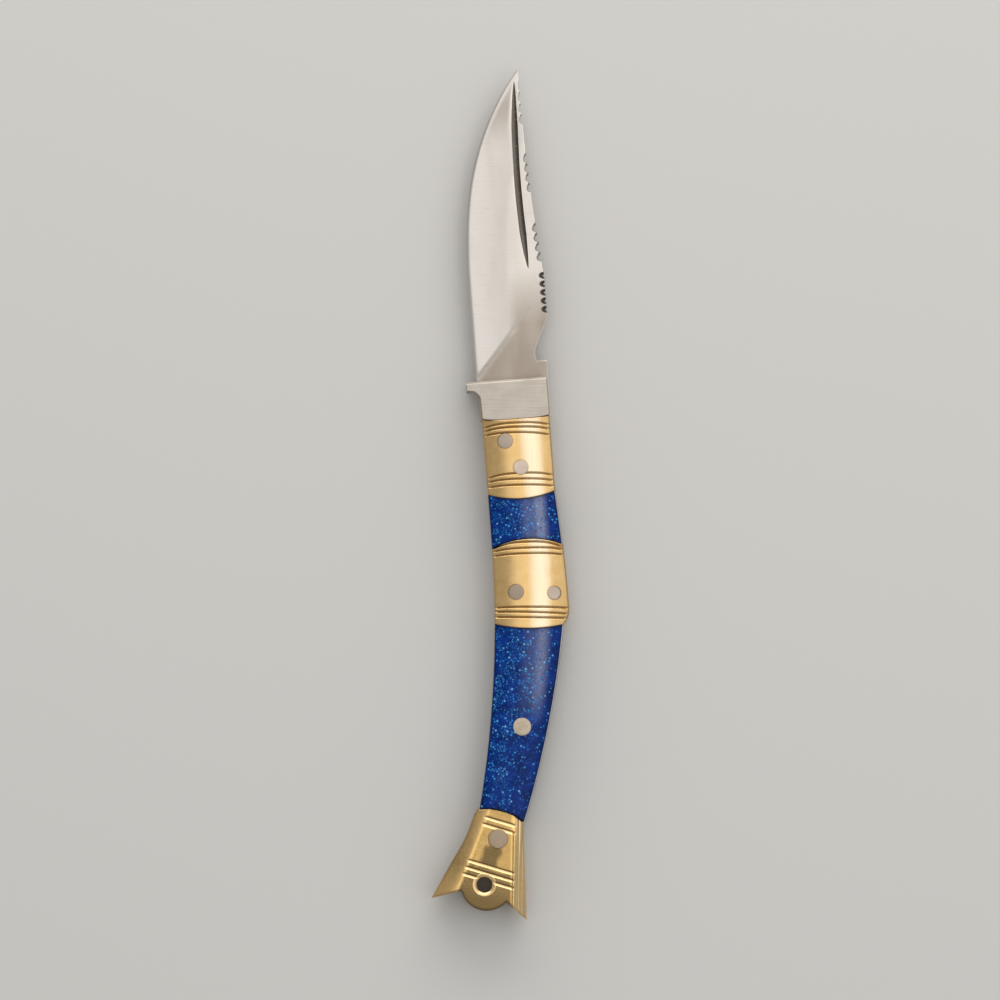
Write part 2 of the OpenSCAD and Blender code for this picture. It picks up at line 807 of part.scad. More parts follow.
module rear_scale() {
  color("navy")
    difference() {
      intersection() {
        plate(seat_z, top_z + over)
          difference() {
            intersection() {
              grip_plan(liner_lip);
              band(grip_low_y, middle_end_y + inlay_end);
            }
            middle_end_disc();
            tail_zone();
          }
        rear_crown();
      }
      drill(scale_rivet, scale_rivet_r);
    }
}

// Wedge that bevels the tail beyond the line from p to q, falling to its left
module flank_cut(p, q, slope) {
  heading = atan2(q[1] - p[1], q[0] - p[0]) - 90;
  translate([p[0], p[1], tail_z])
    rotate([0, 0, heading]) rotate([0, -slope, 0])
      translate([-far / 2, -far / 2, 0]) cube([far / 2, far, far / 4]);
}

// Engraved line across the tail's flat, at a height above the hole
module tail_line(y) {
  p = tail_point(-flat_edge_at(y), y);
  translate([p[0], p[1], tail_z - line_depth])
    rotate([0, 0, -tail_turn]) translate([0, -line_w / 2, 0])
      cube([flat_edge_at(y) + flat_back_at(y), line_w, 2 * line_depth]);
}

module tail_bolster() {
  color("goldenrod")
    difference() {
      plate(seat_z, tail_z)
        intersection() {
          union() {
            grip_plan();
            tail_plan();
          }
          tail_zone();
        }
      flank_cut(
        tail_point(-flat_edge_low, 0), tail_point(-flat_edge_high, flat_high_y), edge_flank
      );
      flank_cut(
        tail_point(flat_back_high, flat_high_y), tail_point(flat_back_low, 0), back_flank
      );
      for (i = [0:1]) tail_line(high_lines_y - i * tail_line_pitch);
      for (i = [0:2]) tail_line(low_lines_y + i * tail_line_pitch);
      drill(tail_pin_at, tail_pin_r);
      drill(hole, hole_r);
      translate([hole[0], hole[1], tail_z - hole_chamfer])
        cylinder(h = 2 * hole_chamfer, r1 = hole_r, r2 = hole_r + 2 * hole_chamfer);
    }
}

// Pins and rivets

module pivot_pin() {
  color("rosybrown")
    intersection() {
      cylinder(h = handle_t + 2 * over, r = pivot_r, center = true);
      front_crown();
      mirror([0, 0, 1]) front_crown();
    }
}

module spring_pin() {
  color("rosybrown")
    intersection() {
      translate(spring_pin_at) cylinder(h = handle_t + 2 * over, r = spring_pin_r, center = true);
      middle_crown();
      mirror([0, 0, 1]) middle_crown();
    }
}

module tail_pin() {
  color("rosybrown")
    translate(tail_pin_at) cylinder(h = 2 * tail_z, r = tail_pin_r, center = true);
}

// Short rivet from the inside of the liner up to the crowned surface
module short_rivet(at, radius) {
  translate([at[0], at[1], slot_z]) cylinder(h = handle_t / 2, r = radius);
}

module front_rivet() {
  color("rosybrown")
    intersection() {
      short_rivet(front_rivet, front_rivet_r);
      front_crown();
    }
}

module middle_rivet() {
  color("rosybrown")
    intersection() {
      short_rivet(middle_rivet, middle_rivet_r);
      middle_crown();
    }
}

// White rivet with a low dome
module scale_rivet() {
  dome_r = scale_rivet_r * scale_rivet_r / (2 * scale_rivet_proud) + scale_rivet_proud / 2;
  color("ivory")
    intersection() {
      short_rivet(scale_rivet, scale_rivet_r);
      translate([scale_rivet[0], scale_rivet[1], top_z + scale_rivet_proud - dome_r]) sphere(dome_r);
    }
}

module guard_rivets() {
  color("silver")
    for (at = guard_rivets_at)
      translate([at[0], at[1], slot_z])
        cylinder(h = guard_z - guard_cover - slot_z, r = guard_rivet_r);
}

// The other side of the knife
module flipped() {
  mirror([0, 0, 1]) children();
}

// Brings the lanyard hole to the origin
module placed() {
  translate([-hole[0], -hole[1], 0]) children();
}

placed() blade();
placed() backspring();
placed() liner();  // liner_top
placed() flipped() liner();  // liner_bottom
placed() guard_bolster();  // guard_bolster_top
placed() flipped() guard_bolster();  // guard_bolster_bottom
placed() front_bolster();  // front_bolster_top
placed() flipped() front_bolster();  // front_bolster_bottom
placed() front_inlay();  // front_inlay_top
placed() flipped() front_inlay();  // front_inlay_bottom
placed() middle_bolster();  // middle_bolster_top
placed() flipped() middle_bolster();  // middle_bolster_bottom
placed() rear_scale();  // rear_scale_top
placed() flipped() rear_scale();  // rear_scale_bottom
placed() tail_bolster();  // tail_bolster_top
placed() flipped() tail_bolster();  // tail_bolster_bottom
placed() pivot_pin();
placed() spring_pin();
placed() tail_pin();
placed() front_rivet();  // front_rivet_top
placed() flipped() front_rivet();  // front_rivet_bottom
placed() middle_rivet();  // middle_rivet_top
placed() flipped() middle_rivet();  // middle_rivet_bottom
placed() scale_rivet();  // scale_rivet_top
placed() flipped() scale_rivet();  // scale_rivet_bottom
placed() guard_rivets();  // guard_rivets_top
placed() flipped() guard_rivets();  // guard_rivets_bottom
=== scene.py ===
# %% [markdown]
# # Dressing a folding knife
# The CAD model has the knife's exact solids. This lesson gives it the looks of the real
# one: satin ground steel, hand-polished brass with engraved lines, and blue acrylic with
# glitter in it. Sizes are written in millimetres about the blade's pivot, as a knife maker
# would measure them, and turned into metres when a mesh is made.

# %% Load the frame
import json
import math

import bmesh
import bpy
import numpy as np
from mathutils import Matrix, Vector
from mathutils.kdtree import KDTree


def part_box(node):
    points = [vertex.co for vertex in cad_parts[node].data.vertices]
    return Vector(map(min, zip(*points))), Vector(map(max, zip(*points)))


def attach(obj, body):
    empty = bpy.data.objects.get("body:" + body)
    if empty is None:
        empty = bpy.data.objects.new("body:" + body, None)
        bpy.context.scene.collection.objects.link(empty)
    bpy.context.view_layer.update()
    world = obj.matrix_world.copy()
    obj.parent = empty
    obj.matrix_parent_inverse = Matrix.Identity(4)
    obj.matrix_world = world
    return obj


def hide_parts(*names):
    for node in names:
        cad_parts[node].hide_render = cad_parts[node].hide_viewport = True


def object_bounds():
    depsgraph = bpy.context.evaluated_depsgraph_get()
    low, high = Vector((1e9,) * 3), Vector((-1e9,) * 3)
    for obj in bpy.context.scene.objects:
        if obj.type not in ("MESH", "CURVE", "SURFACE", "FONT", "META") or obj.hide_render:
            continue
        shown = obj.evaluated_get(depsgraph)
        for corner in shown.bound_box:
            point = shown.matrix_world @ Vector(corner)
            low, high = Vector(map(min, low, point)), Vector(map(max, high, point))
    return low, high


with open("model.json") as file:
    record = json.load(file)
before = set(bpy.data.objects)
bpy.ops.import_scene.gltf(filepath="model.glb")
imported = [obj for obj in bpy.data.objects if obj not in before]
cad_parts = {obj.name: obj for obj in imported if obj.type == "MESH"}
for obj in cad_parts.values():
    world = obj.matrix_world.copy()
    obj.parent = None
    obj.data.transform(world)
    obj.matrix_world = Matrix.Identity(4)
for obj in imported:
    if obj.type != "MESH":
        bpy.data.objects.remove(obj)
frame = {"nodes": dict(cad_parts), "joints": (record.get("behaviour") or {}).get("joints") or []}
cad_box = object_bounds()
MM = 0.001
nodes = frame["nodes"]
pivot = np.array(frame["joints"][0]["pos_m"][:2]) / MM
print("CAD nodes:", len(nodes), "pivot at", pivot, "mm")

# %% [markdown]
# ## Outlines and levels
# The handle is bounded by a few arcs, and its crown is a cylinder that bends twice. The
# dressed pieces could be made by bending copies of the solids, but the seams would then
# drift. So the same arcs are written here as functions, and every dressed piece meets its
# neighbours exactly where the solids do. The levels are measured on the CAD nodes.

# %% Levels above the middle plane


def top_of(node):
    """Height of a node's highest point in millimetres."""
    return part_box(node)[1].z / MM


SEAT = top_of("liner_top")
CROWN = top_of("front_bolster_top")
TAIL_FLAT = top_of("tail_bolster_top")
GUARD_FLAT = top_of("guard_bolster_top")
HALF_BLADE = top_of("blade")
print("seat", round(SEAT, 3), "crown", round(CROWN, 3), "tail", round(TAIL_FLAT, 3),
      "guard", round(GUARD_FLAT, 3), "blade", round(HALF_BLADE, 3))

# %% Sides of the handle
# Each arc is its centre, across and along the knife, and its radius.
EDGE_ARC = (-254.75, -21.7, 250)
SWELL_ARC = (-308.51, -38.1, 320)
KNUCKLE_ARC = (6.29, -38.1, 5.2)
BACK_ARC = (-204.6, -5.6, 217.6)
EDGE_X, BACK_X = -4.75, 10.35
KNUCKLE_END = -43.3


def arc(along, centre, centre_along, radius, side=1):
    """Where a circle's far (1) or near (-1) side lies, at places along the other axis."""
    return centre + side * np.sqrt(np.maximum(radius**2 - (along - centre_along) ** 2, 0))


def edge_side(y):
    """The side that the edge closes into: straight, then one long arc."""
    return np.where(y > EDGE_ARC[1], EDGE_X, arc(y, *EDGE_ARC))


def back_side(y):
    """The back: straight, swelling to a knuckle, then one long arc to the tail."""
    upper = np.maximum(BACK_X, arc(y, *SWELL_ARC))
    knuckle = np.where(y > KNUCKLE_END, arc(np.maximum(y, KNUCKLE_END), *KNUCKLE_ARC), -99)
    return np.where(y > KNUCKLE_ARC[1], upper, np.maximum(knuckle, arc(y, *BACK_ARC)))


print("handle", round(float(back_side(0.0) - edge_side(0.0)), 2), "mm wide at the pivot")

# %% Seams between the pieces
MID_X = 3.05
SEAM_Y, SEAM_DIP = 4.74, 0.4


def guard_seam(x):
    """The seam between guard and brass, which dips in the middle."""
    return SEAM_Y + SEAM_DIP * np.minimum(np.abs(x - MID_X) / 7.2, 1.08) ** 4


def front_end(x):
    """The front bolster's end, bowed towards the tail."""
    return arc(x, 7.8, MID_X, 21, -1)


def middle_start(x):
    """The middle bolster's first end, bowed towards the blade."""
    return arc(x, -42.15, MID_X, 20)


def middle_end(x):
    """The middle bolster's last end, bowed towards the tail."""
    return arc(x, -10.9, 4.66, 31.4, -1)


print("front bolster", round(float(guard_seam(MID_X) - front_end(MID_X)), 2), "mm long")

# %% The tail's own axes
TAIL_TURN = math.radians(21)
HOLE = -pivot
SEAM_CENTRE, SEAM_R = (-0.56, 3.56), 13.4


def tail_to_knife(across, up):
    """A point given across and up the tail's own axis, brought into the knife's frame."""
    c, s = math.cos(TAIL_TURN), math.sin(TAIL_TURN)
    return HOLE[0] + across * c + up * s, HOLE[1] + up * c - across * s


def tail_start(x):
    """The seam between the rear scale and the tail, bowed towards the blade."""
    centre_x, centre_y = tail_to_knife(*SEAM_CENTRE)
    return arc(x, centre_y, centre_x, SEAM_R)


print("tail seam at", np.round(tail_start(HOLE[0]), 2), "mm, hole at", np.round(HOLE, 2))

# %% The crown
CROWN_R = 19.5
MIDDLE_R, REAR_R = 160, 220
BEND_FROM = -23.0
middle_centre = np.array([MID_X - MIDDLE_R, BEND_FROM])
crown_turn = math.radians(6.8)
rear_centre = middle_centre + (MIDDLE_R - REAR_R) * np.array([
    math.cos(crown_turn), -math.sin(crown_turn)])
BENDS = {"middle": (middle_centre, MIDDLE_R), "rear": (rear_centre, REAR_R)}


def off_crown(x, y, stretch):
    """Distance from the crown's highest line, towards the back."""
    if stretch == "front":
        return x - MID_X
    centre, radius = BENDS[stretch]
    return np.hypot(x - centre[0], y - centre[1]) - radius


def crown(x, y, stretch):
    """Height of the crowned surface, straight in front and bent further back."""
    return arc(off_crown(x, y, stretch), CROWN - CROWN_R, 0, CROWN_R)


print("crown at the edge side:", round(float(crown(EDGE_X, 0.0, "front")), 2), "mm")

# %% [markdown]
# ## Meshes from plans and heights
# A bolster or a scale is a plan with a height at each point. It could be carved with
# modifiers, but worn rims and lines cut by hand are easier to write as numbers. So each
# piece is a fine grid laid between its four sides, lifted to its surface, with a floor
# under it and a wall round it. Rounded rims and engraved lines are part of the height, so
# they are real geometry, and they catch the light as on hand-worked metal.

# %% Grids between the handle's sides
FINE = (0, 0.03, 0.07, 0.13, 0.2, 0.3, 0.42)
HANDLE_WIDE = 15


def stations(length, step, fine=FINE):
    """Shares from 0 to 1 along a length, close together near both ends."""
    rim = np.array(fine) / length
    between = np.linspace(rim[-1], 1 - rim[-1], max(2, int(length / step)))
    return np.unique(np.concatenate([rim, between, 1 - rim]))


def grip_plan(high_end, low_end, trim=(0.0, 0.0), step=(0.13, 0.1)):
    """Grid of plan points between the handle's sides and two end curves."""
    across = stations(HANDLE_WIDE, step[0])
    ends = []
    for end in (low_end, high_end):
        # The sides lean, so where a column meets an end is found in a few rounds.
        y = np.full_like(across, end(3.0))
        for _ in range(15):
            left, right = edge_side(y) + trim[0], back_side(y) - trim[1]
            y = end(left + across * (right - left))
        ends.append(y)
    along = stations(float(np.mean(ends[1] - ends[0])), step[1])[:, None]
    y = ends[0] + along * (ends[1] - ends[0])
    left, right = edge_side(y) + trim[0], back_side(y) - trim[1]
    return np.stack([left + across * (right - left), y], axis=-1)


print("a bolster has", len(stations(HANDLE_WIDE, 0.13)), "columns")

# %% Distances from a rim


def ring(grid):
    """A grid's border as one closed loop of its values."""
    return np.concatenate([grid[0, :-1], grid[:-1, -1], grid[-1, :0:-1], grid[:0:-1, 0]])


def distance_to(plan, line, closed=True):
    """Distance of each plan point from a line of points."""
    ends = np.roll(line, -1, axis=0) if closed else line[1:]
    starts = line if closed else line[:-1]
    best = np.full(plan.shape[:2], 1e9)
    for a, b in zip(starts, ends):
        run = b - a
        share = np.clip(((plan - a) @ run) / max(run @ run, 1e-12), 0, 1)
        best = np.minimum(best, np.hypot(*np.moveaxis(plan - a - share[..., None] * run, -1, 0)))
    return best


def rim_drop(distance, radius):
    """How far a rounded rim lies below the surface at a distance from the edge."""
    inside = np.clip(radius - distance, 0, radius)
    return radius - np.sqrt(radius**2 - inside**2)


print("a 0.3 mm rim, 0.1 mm in, is", round(float(rim_drop(0.1, 0.3)), 3), "mm down")

# %% Marks that fade


def bell(distance, width, power=2):
    """1 on a line, falling to nothing on both sides of it."""
    return np.exp(-((distance / width) ** power))


def rise(value, over):
    """Rises from 0 to 1 while a value goes from 0 to a distance."""
    return np.clip(value / over, 0, 1)


print("a bell at its own width:", round(float(bell(1.0, 1.0)), 3))

# %% Waves of hand polishing


def hand_work(plan, size, seed):
    """Slow waves left by hand polishing, in millimetres, up to about size."""
    rng = np.random.default_rng(seed)
    waves = np.zeros(plan.shape[:2])
    for wavelength in (11, 7.5, 5.2, 3.6, 2.6):
        for _ in range(3):
            turn, phase = rng.uniform(0, math.tau, 2)
            heading = np.array([math.cos(turn), math.sin(turn)]) * math.tau / wavelength
            waves += wavelength / 11 * np.sin(plan @ heading + phase)
    return size * waves / 5


print("waves of 0.02 mm:", np.round(hand_work(np.array([[[0, 0], [4, 4]]]), 0.02, 1), 4))

# %% Closed meshes


def put(name, data):
    """A new object in the scene that holds a mesh, a lamp or a camera."""
    thing = bpy.data.objects.new(name, data)
    bpy.context.scene.collection.objects.link(thing)
    return thing


def clean(piece, angle=38, weld=2e-7):
    """Merges what falls together, and smooths all but the sharp edges."""
    work = bmesh.new()
    work.from_mesh(piece.data)
    loose = [v for v in work.verts if not v.link_faces]
    bmesh.ops.delete(work, geom=loose, context="VERTS")
    bmesh.ops.remove_doubles(work, verts=work.verts, dist=weld)
    bmesh.ops.dissolve_degenerate(work, edges=work.edges, dist=weld)
    work.to_mesh(piece.data)
    work.free()
    piece.data.shade_smooth()
    piece.data.set_sharp_from_angle(angle=math.radians(angle))


def closed_mesh(name, plan, top, bottom, marks):
    """A closed mesh: a grid on top, a grid or one flat face below, and walls between.

    The marks hold a value for each grid point, for the materials to read.
    """
    count = plan.shape[0] * plan.shape[1]
    points = np.concatenate([
        np.dstack([plan + pivot, height]).reshape(-1, 3) for height in (top, bottom)]) * MM
    number = np.arange(count).reshape(plan.shape[:2])
    quads = np.stack([number[:-1, :-1], number[:-1, 1:], number[1:, 1:], number[1:, :-1]], -1)
    quads = quads.reshape(-1, 4)
    border = ring(number)
    after = np.roll(border, -1)
    walls = np.stack([border + count, after + count, after, border], -1)
    faces = np.concatenate([quads, walls]).tolist()
    if np.ptp(bottom) == 0:
        faces.append((border[::-1] + count).tolist())
    else:
        faces += (quads[:, ::-1] + count).tolist()
    mesh = bpy.data.meshes.new(name)
    mesh.from_pydata(points.tolist(), [], faces)
    for mark, values in marks.items():
        layer = mesh.attributes.new(mark, "FLOAT", "POINT")
        layer.data.foreach_set("value", np.tile(values.ravel(), 2).astype(np.float32))
    piece = put(name, mesh)
    clean(piece)
    print(name, len(piece.data.polygons), "faces")
    return piece


# %% Round cutters


def applied(piece):
    """Turns a piece with modifiers into a plain mesh."""
    graph = bpy.context.evaluated_depsgraph_get()
    mesh = bpy.data.meshes.new_from_object(piece.evaluated_get(graph), depsgraph=graph)
    piece.modifiers.clear()
    piece.data = mesh


def round_cutter(profile, at, facing=(0, 0, 1), sides=96):
    """A solid turned from a profile of (radius, height) points, standing at a place."""
    work = bmesh.new()
    rings = []
    for radius, height in profile:
        rings.append([
            work.verts.new((radius * math.cos(math.tau * i / sides),
                            radius * math.sin(math.tau * i / sides), height))
            for i in range(sides)
        ])
    for low, high in zip(rings, rings[1:]):
        for i in range(sides):
            work.faces.new((low[i], low[i - 1], high[i - 1], high[i]))
    work.faces.new(rings[0])
    work.faces.new(rings[-1])
    bmesh.ops.recalc_face_normals(work, faces=work.faces)
    lean = Vector(facing).to_track_quat("Z", "Y").to_matrix().to_4x4()
    place = Vector((at[0] + pivot[0], at[1] + pivot[1], at[2]))
    work.transform(Matrix.Scale(MM, 4) @ Matrix.Translation(place) @ lean)
    mesh = bpy.data.meshes.new("cutter")
    work.to_mesh(mesh)
    work.free()
    return put("cutter", mesh)


def drill(piece, cutters):
    """Cuts each cutter out of a piece, and gives the cut faces the marks nearest to them."""
    before = piece.data
    flat = Vector((1, 1, 0))
    nearest = KDTree(len(before.vertices))
    for vertex in before.vertices:
        if vertex.co.z > 0:
            nearest.insert(vertex.co * flat, vertex.index)
    nearest.balance()
    for cutter in cutters:
        cut = piece.modifiers.new("cut", "BOOLEAN")
        cut.operation, cut.solver, cut.object = "DIFFERENCE", "EXACT", cutter
        applied(piece)
        bpy.data.objects.remove(cutter)
    clean(piece)
    found = [nearest.find(vertex.co * flat)[1] for vertex in piece.data.vertices]
    for layer in before.attributes:
        if layer.data_type == "FLOAT" and layer.domain == "POINT":
            old = np.empty(len(before.vertices), dtype=np.float32)
            layer.data.foreach_get("value", old)
            piece.data.attributes[layer.name].data.foreach_set("value", old[found])
    print(piece.name, "drilled", len(cutters), "times")


# %% [markdown]
# ## Places of the pins
# Each pin was driven through the handle and ground flush with the crown. Its place could
# be typed in, but then it would have to be kept in step with the CAD model, so it is read
# from its node's box. The faces follow the crowned surface, whose slope is worked out too.

# %% Pins measured on the frame
PINS = {
    "pivot_pin": "front", "front_rivet_top": "front", "spring_pin": "middle",
    "middle_rivet_top": "middle", "scale_rivet_top": "rear", "tail_pin": "tail",
}


def stand_of(node, stretch):
    """A pin's place, its radius, the height of its face and the way that it faces."""
    low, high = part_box(node)
    middle = (low + high) / 2 / MM
    at, radius = np.array([middle.x, middle.y]) - pivot, (high.x - low.x) / 2 / MM
    if stretch == "tail":
        return at, radius, TAIL_FLAT, (0.0, 0.0, 1.0)
    slope = float(off_crown(*at, stretch)) / CROWN_R
    heading = at - BENDS[stretch][0] if stretch in BENDS else np.array([1.0, 0.0])
    heading = heading / np.linalg.norm(heading)
    facing = (slope * heading[0], slope * heading[1], math.sqrt(1 - slope**2))
    return at, radius, float(crown(*at, stretch)), facing


pin_stands = {node: stand_of(node, stretch) for node, stretch in PINS.items()}
for node, (at, radius, height, _) in pin_stands.items():
    print(node, "at", np.round(at, 2), "radius", round(radius, 2), "height", round(height, 2))

# %% Sockets for the pins


def sockets_for(piece, names, gap=0.09, deep=0.5):
    """Cuts the round sockets that the pins sit in, a hair wider than the pins."""
    cutters = []
    for node in names:
        at, radius, height, facing = pin_stands[node]
        profile = [(radius + gap, -deep), (radius + gap, 1)]
        cutters.append(round_cutter(profile, (*at, height), facing))
    drill(piece, cutters)


def gap_round(pin, plan):
    """Distance of each plan point from a pin's rim."""
    at, radius, *_ = pin_stands[pin]
    return np.hypot(plan[..., 0] - at[0], plan[..., 1] - at[1]) - radius


print("the pivot is", round(-float(gap_round("pivot_pin", np.zeros(2))), 2), "mm inside its rim")

# %% [markdown]
# ## Engraved lines
# The lines were cut with a graver and a fine file, so each is a small rounded valley with
# a little burr raised on both sides, polished smooth. A bump in the material could fake
# them, but the brass is a mirror, and only real slopes bend its highlight. One profile
# serves for all the lines that run over the crown.

# %% Engraving
LINE_DEEP, LINE_HALF = 0.3, 0.36


def valley(distance, half):
    """A rounded valley's depth, 1 in its middle and 0 from half its width outwards."""
    return np.where(np.abs(distance) < half, 0.5 + 0.5 * np.cos(math.pi * distance / half), 0)


def engraved(distance):
    """Depth of an engraved line, with its raised rims, by distance from its middle."""
    burr = 0.03 * bell(distance - LINE_HALF * 1.2, LINE_HALF * 0.4)
    return LINE_DEEP * valley(distance, LINE_HALF) - burr


def filed_line(plan, at_y, lean, bow):
    """Distance from a line across the crown that leans and droops at both ends.

    The lean is in millimetres per millimetre, and the bow is the droop at the sides.
    """
    off = plan[..., 0] - MID_X
    droop = bow * np.abs(off / 7) ** 2.8
    return np.abs(plan[..., 1] - (at_y + lean * off - droop))


print("a line is", LINE_DEEP, "mm deep and its burr",
      round(-float(engraved(LINE_HALF * 1.2)), 3), "mm high")

# %% [markdown]
# ## Brass bolsters
# Both bolsters are crowned brass bars filed to the handle's outline. Three lines run
# across each end. They were cut by hand, so each leans a little and droops at the sides,
# where the crown falls away under the file. The marks kept with the mesh tell the brass
# finish where the lines, the rims and the crown's middle are.

# %% A bolster


def bolster(name, plan, stretch, lines, pins, seed):
    """A crowned brass piece with engraved lines and pin sockets."""
    x, y = plan[..., 0], plan[..., 1]
    cut, dark = np.zeros_like(x), np.zeros_like(x)
    inwards = rise(np.minimum(x - edge_side(y), back_side(y) - x), 0.9)
    for at_y, lean, bow in lines:
        off_line = filed_line(plan, at_y, lean, bow)
        cut = cut + engraved(off_line) * (0.35 + 0.65 * inwards)
        dark = np.maximum(dark, bell(off_line, 0.45 * LINE_HALF) * (0.4 + 0.6 * inwards))
    for pin in pins:
        dark = np.maximum(dark, 0.6 * bell(gap_round(pin, plan), 0.17))
    from_rim = distance_to(plan, ring(plan)[::5])
    top = crown(x, y, stretch) - rim_drop(from_rim, 0.3) - cut + hand_work(plan, 0.02, seed)
    piece = closed_mesh(name, plan, top, np.full_like(top, SEAT), {
        "dirt_and_shade": dark, "rim": bell(from_rim, 0.35), "across": off_crown(x, y, stretch) / 8})
    sockets_for(piece, pins)
    return piece


# %% Front and middle bolster
# Each line is its height, its lean and its droop at the sides.
front_lines = [
    (3.85, -0.032, 0.68), (2.9, -0.043, 0.65), (1.68, -0.068, 0.6),
    (-7.45, -0.036, 0.7), (-8.72, -0.054, 0.5), (-10.08, -0.057, 0.37),
]
middle_lines = [
    (-22.86, -0.039, 0.96), (-24.2, -0.036, 0.43), (-25.45, -0.046, 0.31),
    (-37.45, -0.078, 0.1), (-38.6, -0.1, 0.08), (-39.78, -0.09, 0.0),
]
front_brass = bolster("front_brass_top", grip_plan(guard_seam, front_end), "front",
                      front_lines, ["pivot_pin", "front_rivet_top"], 3)
middle_brass = bolster("middle_brass_top", grip_plan(middle_start, middle_end), "middle",
                       middle_lines, ["spring_pin", "middle_rivet_top"], 8)

# %% [markdown]
# ## Acrylic scales
# The scales are polished acrylic, a little narrower than the steel liners, and flush with the
# brass. Their height is the bare crown with a small rounded rim. A pale streak, a painted
# reflection, runs along the back side, where the crown turns from the light, and fades towards the
# tail. Its place is kept as a mark, so that it stays on the piece from every side.

# %% An acrylic piece
LINER_SHOWS = (0.1, 0.3)
PLAIN_STEP = (0.25, 0.25)


def acrylic_piece(name, plan, stretch, pins, seed, milk):
    """A polished acrylic piece. Its last argument gives the painted reflection streak: its middle
    and half width, measured off the crown's line, the height at which it ends, and its strength."""
    x, y = plan[..., 0], plan[..., 1]
    sheen_off, sheen_wide, sheen_end, sheen_strong = milk
    from_rim = distance_to(plan, ring(plan)[::5])
    top = crown(x, y, stretch) - rim_drop(from_rim, 0.16) + hand_work(plan, 0.006, seed)
    off = off_crown(x, y, stretch)
    # A painted reflection: a pale streak off the crown's line, with a faint broad spread beside
    # it.
    broad_sheen = rise(off + 1.5, 2) * rise(5.6 - off, 1.2)
    painted_sheen_share = sheen_strong * (bell(off - sheen_off, sheen_wide) + 0.45 * broad_sheen)
    piece = closed_mesh(name, plan, top, np.full_like(top, SEAT), {
        "across": off / 8, "milk": painted_sheen_share * rise(y - sheen_end, 9), "edge": bell(from_rim, 0.5)})
    if pins:
        sockets_for(piece, pins, gap=0.02)
    return piece


# %% Inlay and rear scale
front_blue = acrylic_piece(
    "front_acrylic_top", grip_plan(front_end, middle_start, LINER_SHOWS, PLAIN_STEP),
    "front", [], 5, (3.4, 0.8, -40, 1.0))
rear_blue = acrylic_piece(
    "rear_acrylic_top", grip_plan(middle_end, tail_start, LINER_SHOWS, PLAIN_STEP),
    "rear", ["scale_rivet_top"], 6, (3.3, 1.2, -64, 0.55))

# %% [markdown]
# ## Fish tail
# The tail is a brass plate with a flat top and two filed flanks, a wide one on the edge
# side and a steep narrow one at the back with fine lengthwise grooves. It could be
# bevelled out of a block, but its flanks taper and its lines run square to an axis of its
# own. So it is drawn as a grid in a frame of its own, with the lanyard hole at the
# middle, and the grid's rows lie along the engraved lines.

# %% Outline of the tail
# Points are across and up the tail's axis. A round lobe stands out between its two fins.
EDGE_FIN, BACK_FIN = (-10.5, -6.2), (11.3, -4.85)
LOBE_FROM, LOBE_TO = -4.62, 5.72
LOBE_ARC = (0.2, 0.45, 5.85)
TAIL_WIDE = 21.8
SEAM_LEFT, SEAM_WIDE = -6.28, 10.613


def tail_low(u):
    """The fins' lower edges, and the round lobe between them."""
    fin = np.interp(u, [EDGE_FIN[0], LOBE_FROM, LOBE_TO, BACK_FIN[0]],
                    [EDGE_FIN[1], -2.75, -2.3, BACK_FIN[1]])
    return np.where((u > LOBE_FROM) & (u < LOBE_TO), arc(u, *LOBE_ARC, -1), fin)


def tail_left(v):
    """The edge side of the tail, filed in a few straight strokes."""
    return np.interp(v, [EDGE_FIN[1], 1.6, 6.9, 9.8, 14.6, 15.66],
                     [EDGE_FIN[0], -8.75, -7.45, -6.95, -6.65, SEAM_LEFT])


def tail_right(v):
    """The back of the tail, which is straight."""
    return BACK_FIN[0] - 6.9 * (v - BACK_FIN[1]) / 20.65


print("tail", TAIL_WIDE, "mm across its fins, lobe", round(LOBE_TO - LOBE_FROM, 2), "mm")

# %% Grid of the tail
# Rows lie closest where lines are engraved. Past the lines they turn into the fins' edges
# at one end and into the curved seam at the other.
share = np.unique(np.concatenate([
    stations(TAIL_WIDE, 0.1), (np.array([LOBE_FROM, LOBE_TO]) - EDGE_FIN[0]) / TAIL_WIDE]))
levels = np.concatenate([
    np.arange(0.4, 5, 0.061), np.arange(5, 12.4, 0.25), np.arange(12.4, 15.2, 0.061), [15.2]])
body = np.stack([
    tail_left(levels)[:, None] * (1 - share) + tail_right(levels)[:, None] * share,
    np.broadcast_to(levels[:, None], (len(levels), len(share)))], axis=-1)
fins_u = EDGE_FIN[0] + TAIL_WIDE * share
seam_u = SEAM_LEFT + SEAM_WIDE * share
fins = np.stack([fins_u, tail_low(fins_u)], axis=-1)
seam = np.stack([seam_u, arc(seam_u, SEAM_CENTRE[1], SEAM_CENTRE[0], SEAM_R)], axis=-1)
to_fins = 1 - np.array([
    0, 0.005, 0.012, 0.022, 0.036, 0.055, 0.08, *np.arange(0.11, 0.99, 0.028)])
to_seam = np.array([*np.arange(0.12, 0.7, 0.1), 0.76, 0.83, 0.89, 0.94, 0.975, 1])
tail_grid = np.concatenate([
    body[0] + to_fins[:, None, None] * (fins - body[0]), body,
    body[-1] + to_seam[:, None, None] * (seam - body[-1])])
tail_u, tail_v = tail_grid[..., 0], tail_grid[..., 1]
tail_plan = np.stack(tail_to_knife(tail_u, tail_v), axis=-1)
print("tail grid", tail_plan.shape[:2])

# %% Flat and flanks
# The flat narrows on both its sides, by so much over the taper's length.
TAPER_LONG = 15
EDGE_TAPER, BACK_TAPER = 1.3, 4.2


def soft_low(a, b, blend):
    """The lower of two surfaces, with the crease between them rounded."""
    return (a + b - np.sqrt((a - b) ** 2 + blend**2)) / 2


def below(value, over):
    """1 well below zero and 0 well above it, with a soft change between."""
    return 1 / (1 + np.exp(np.clip(value / over, -50, 50)))


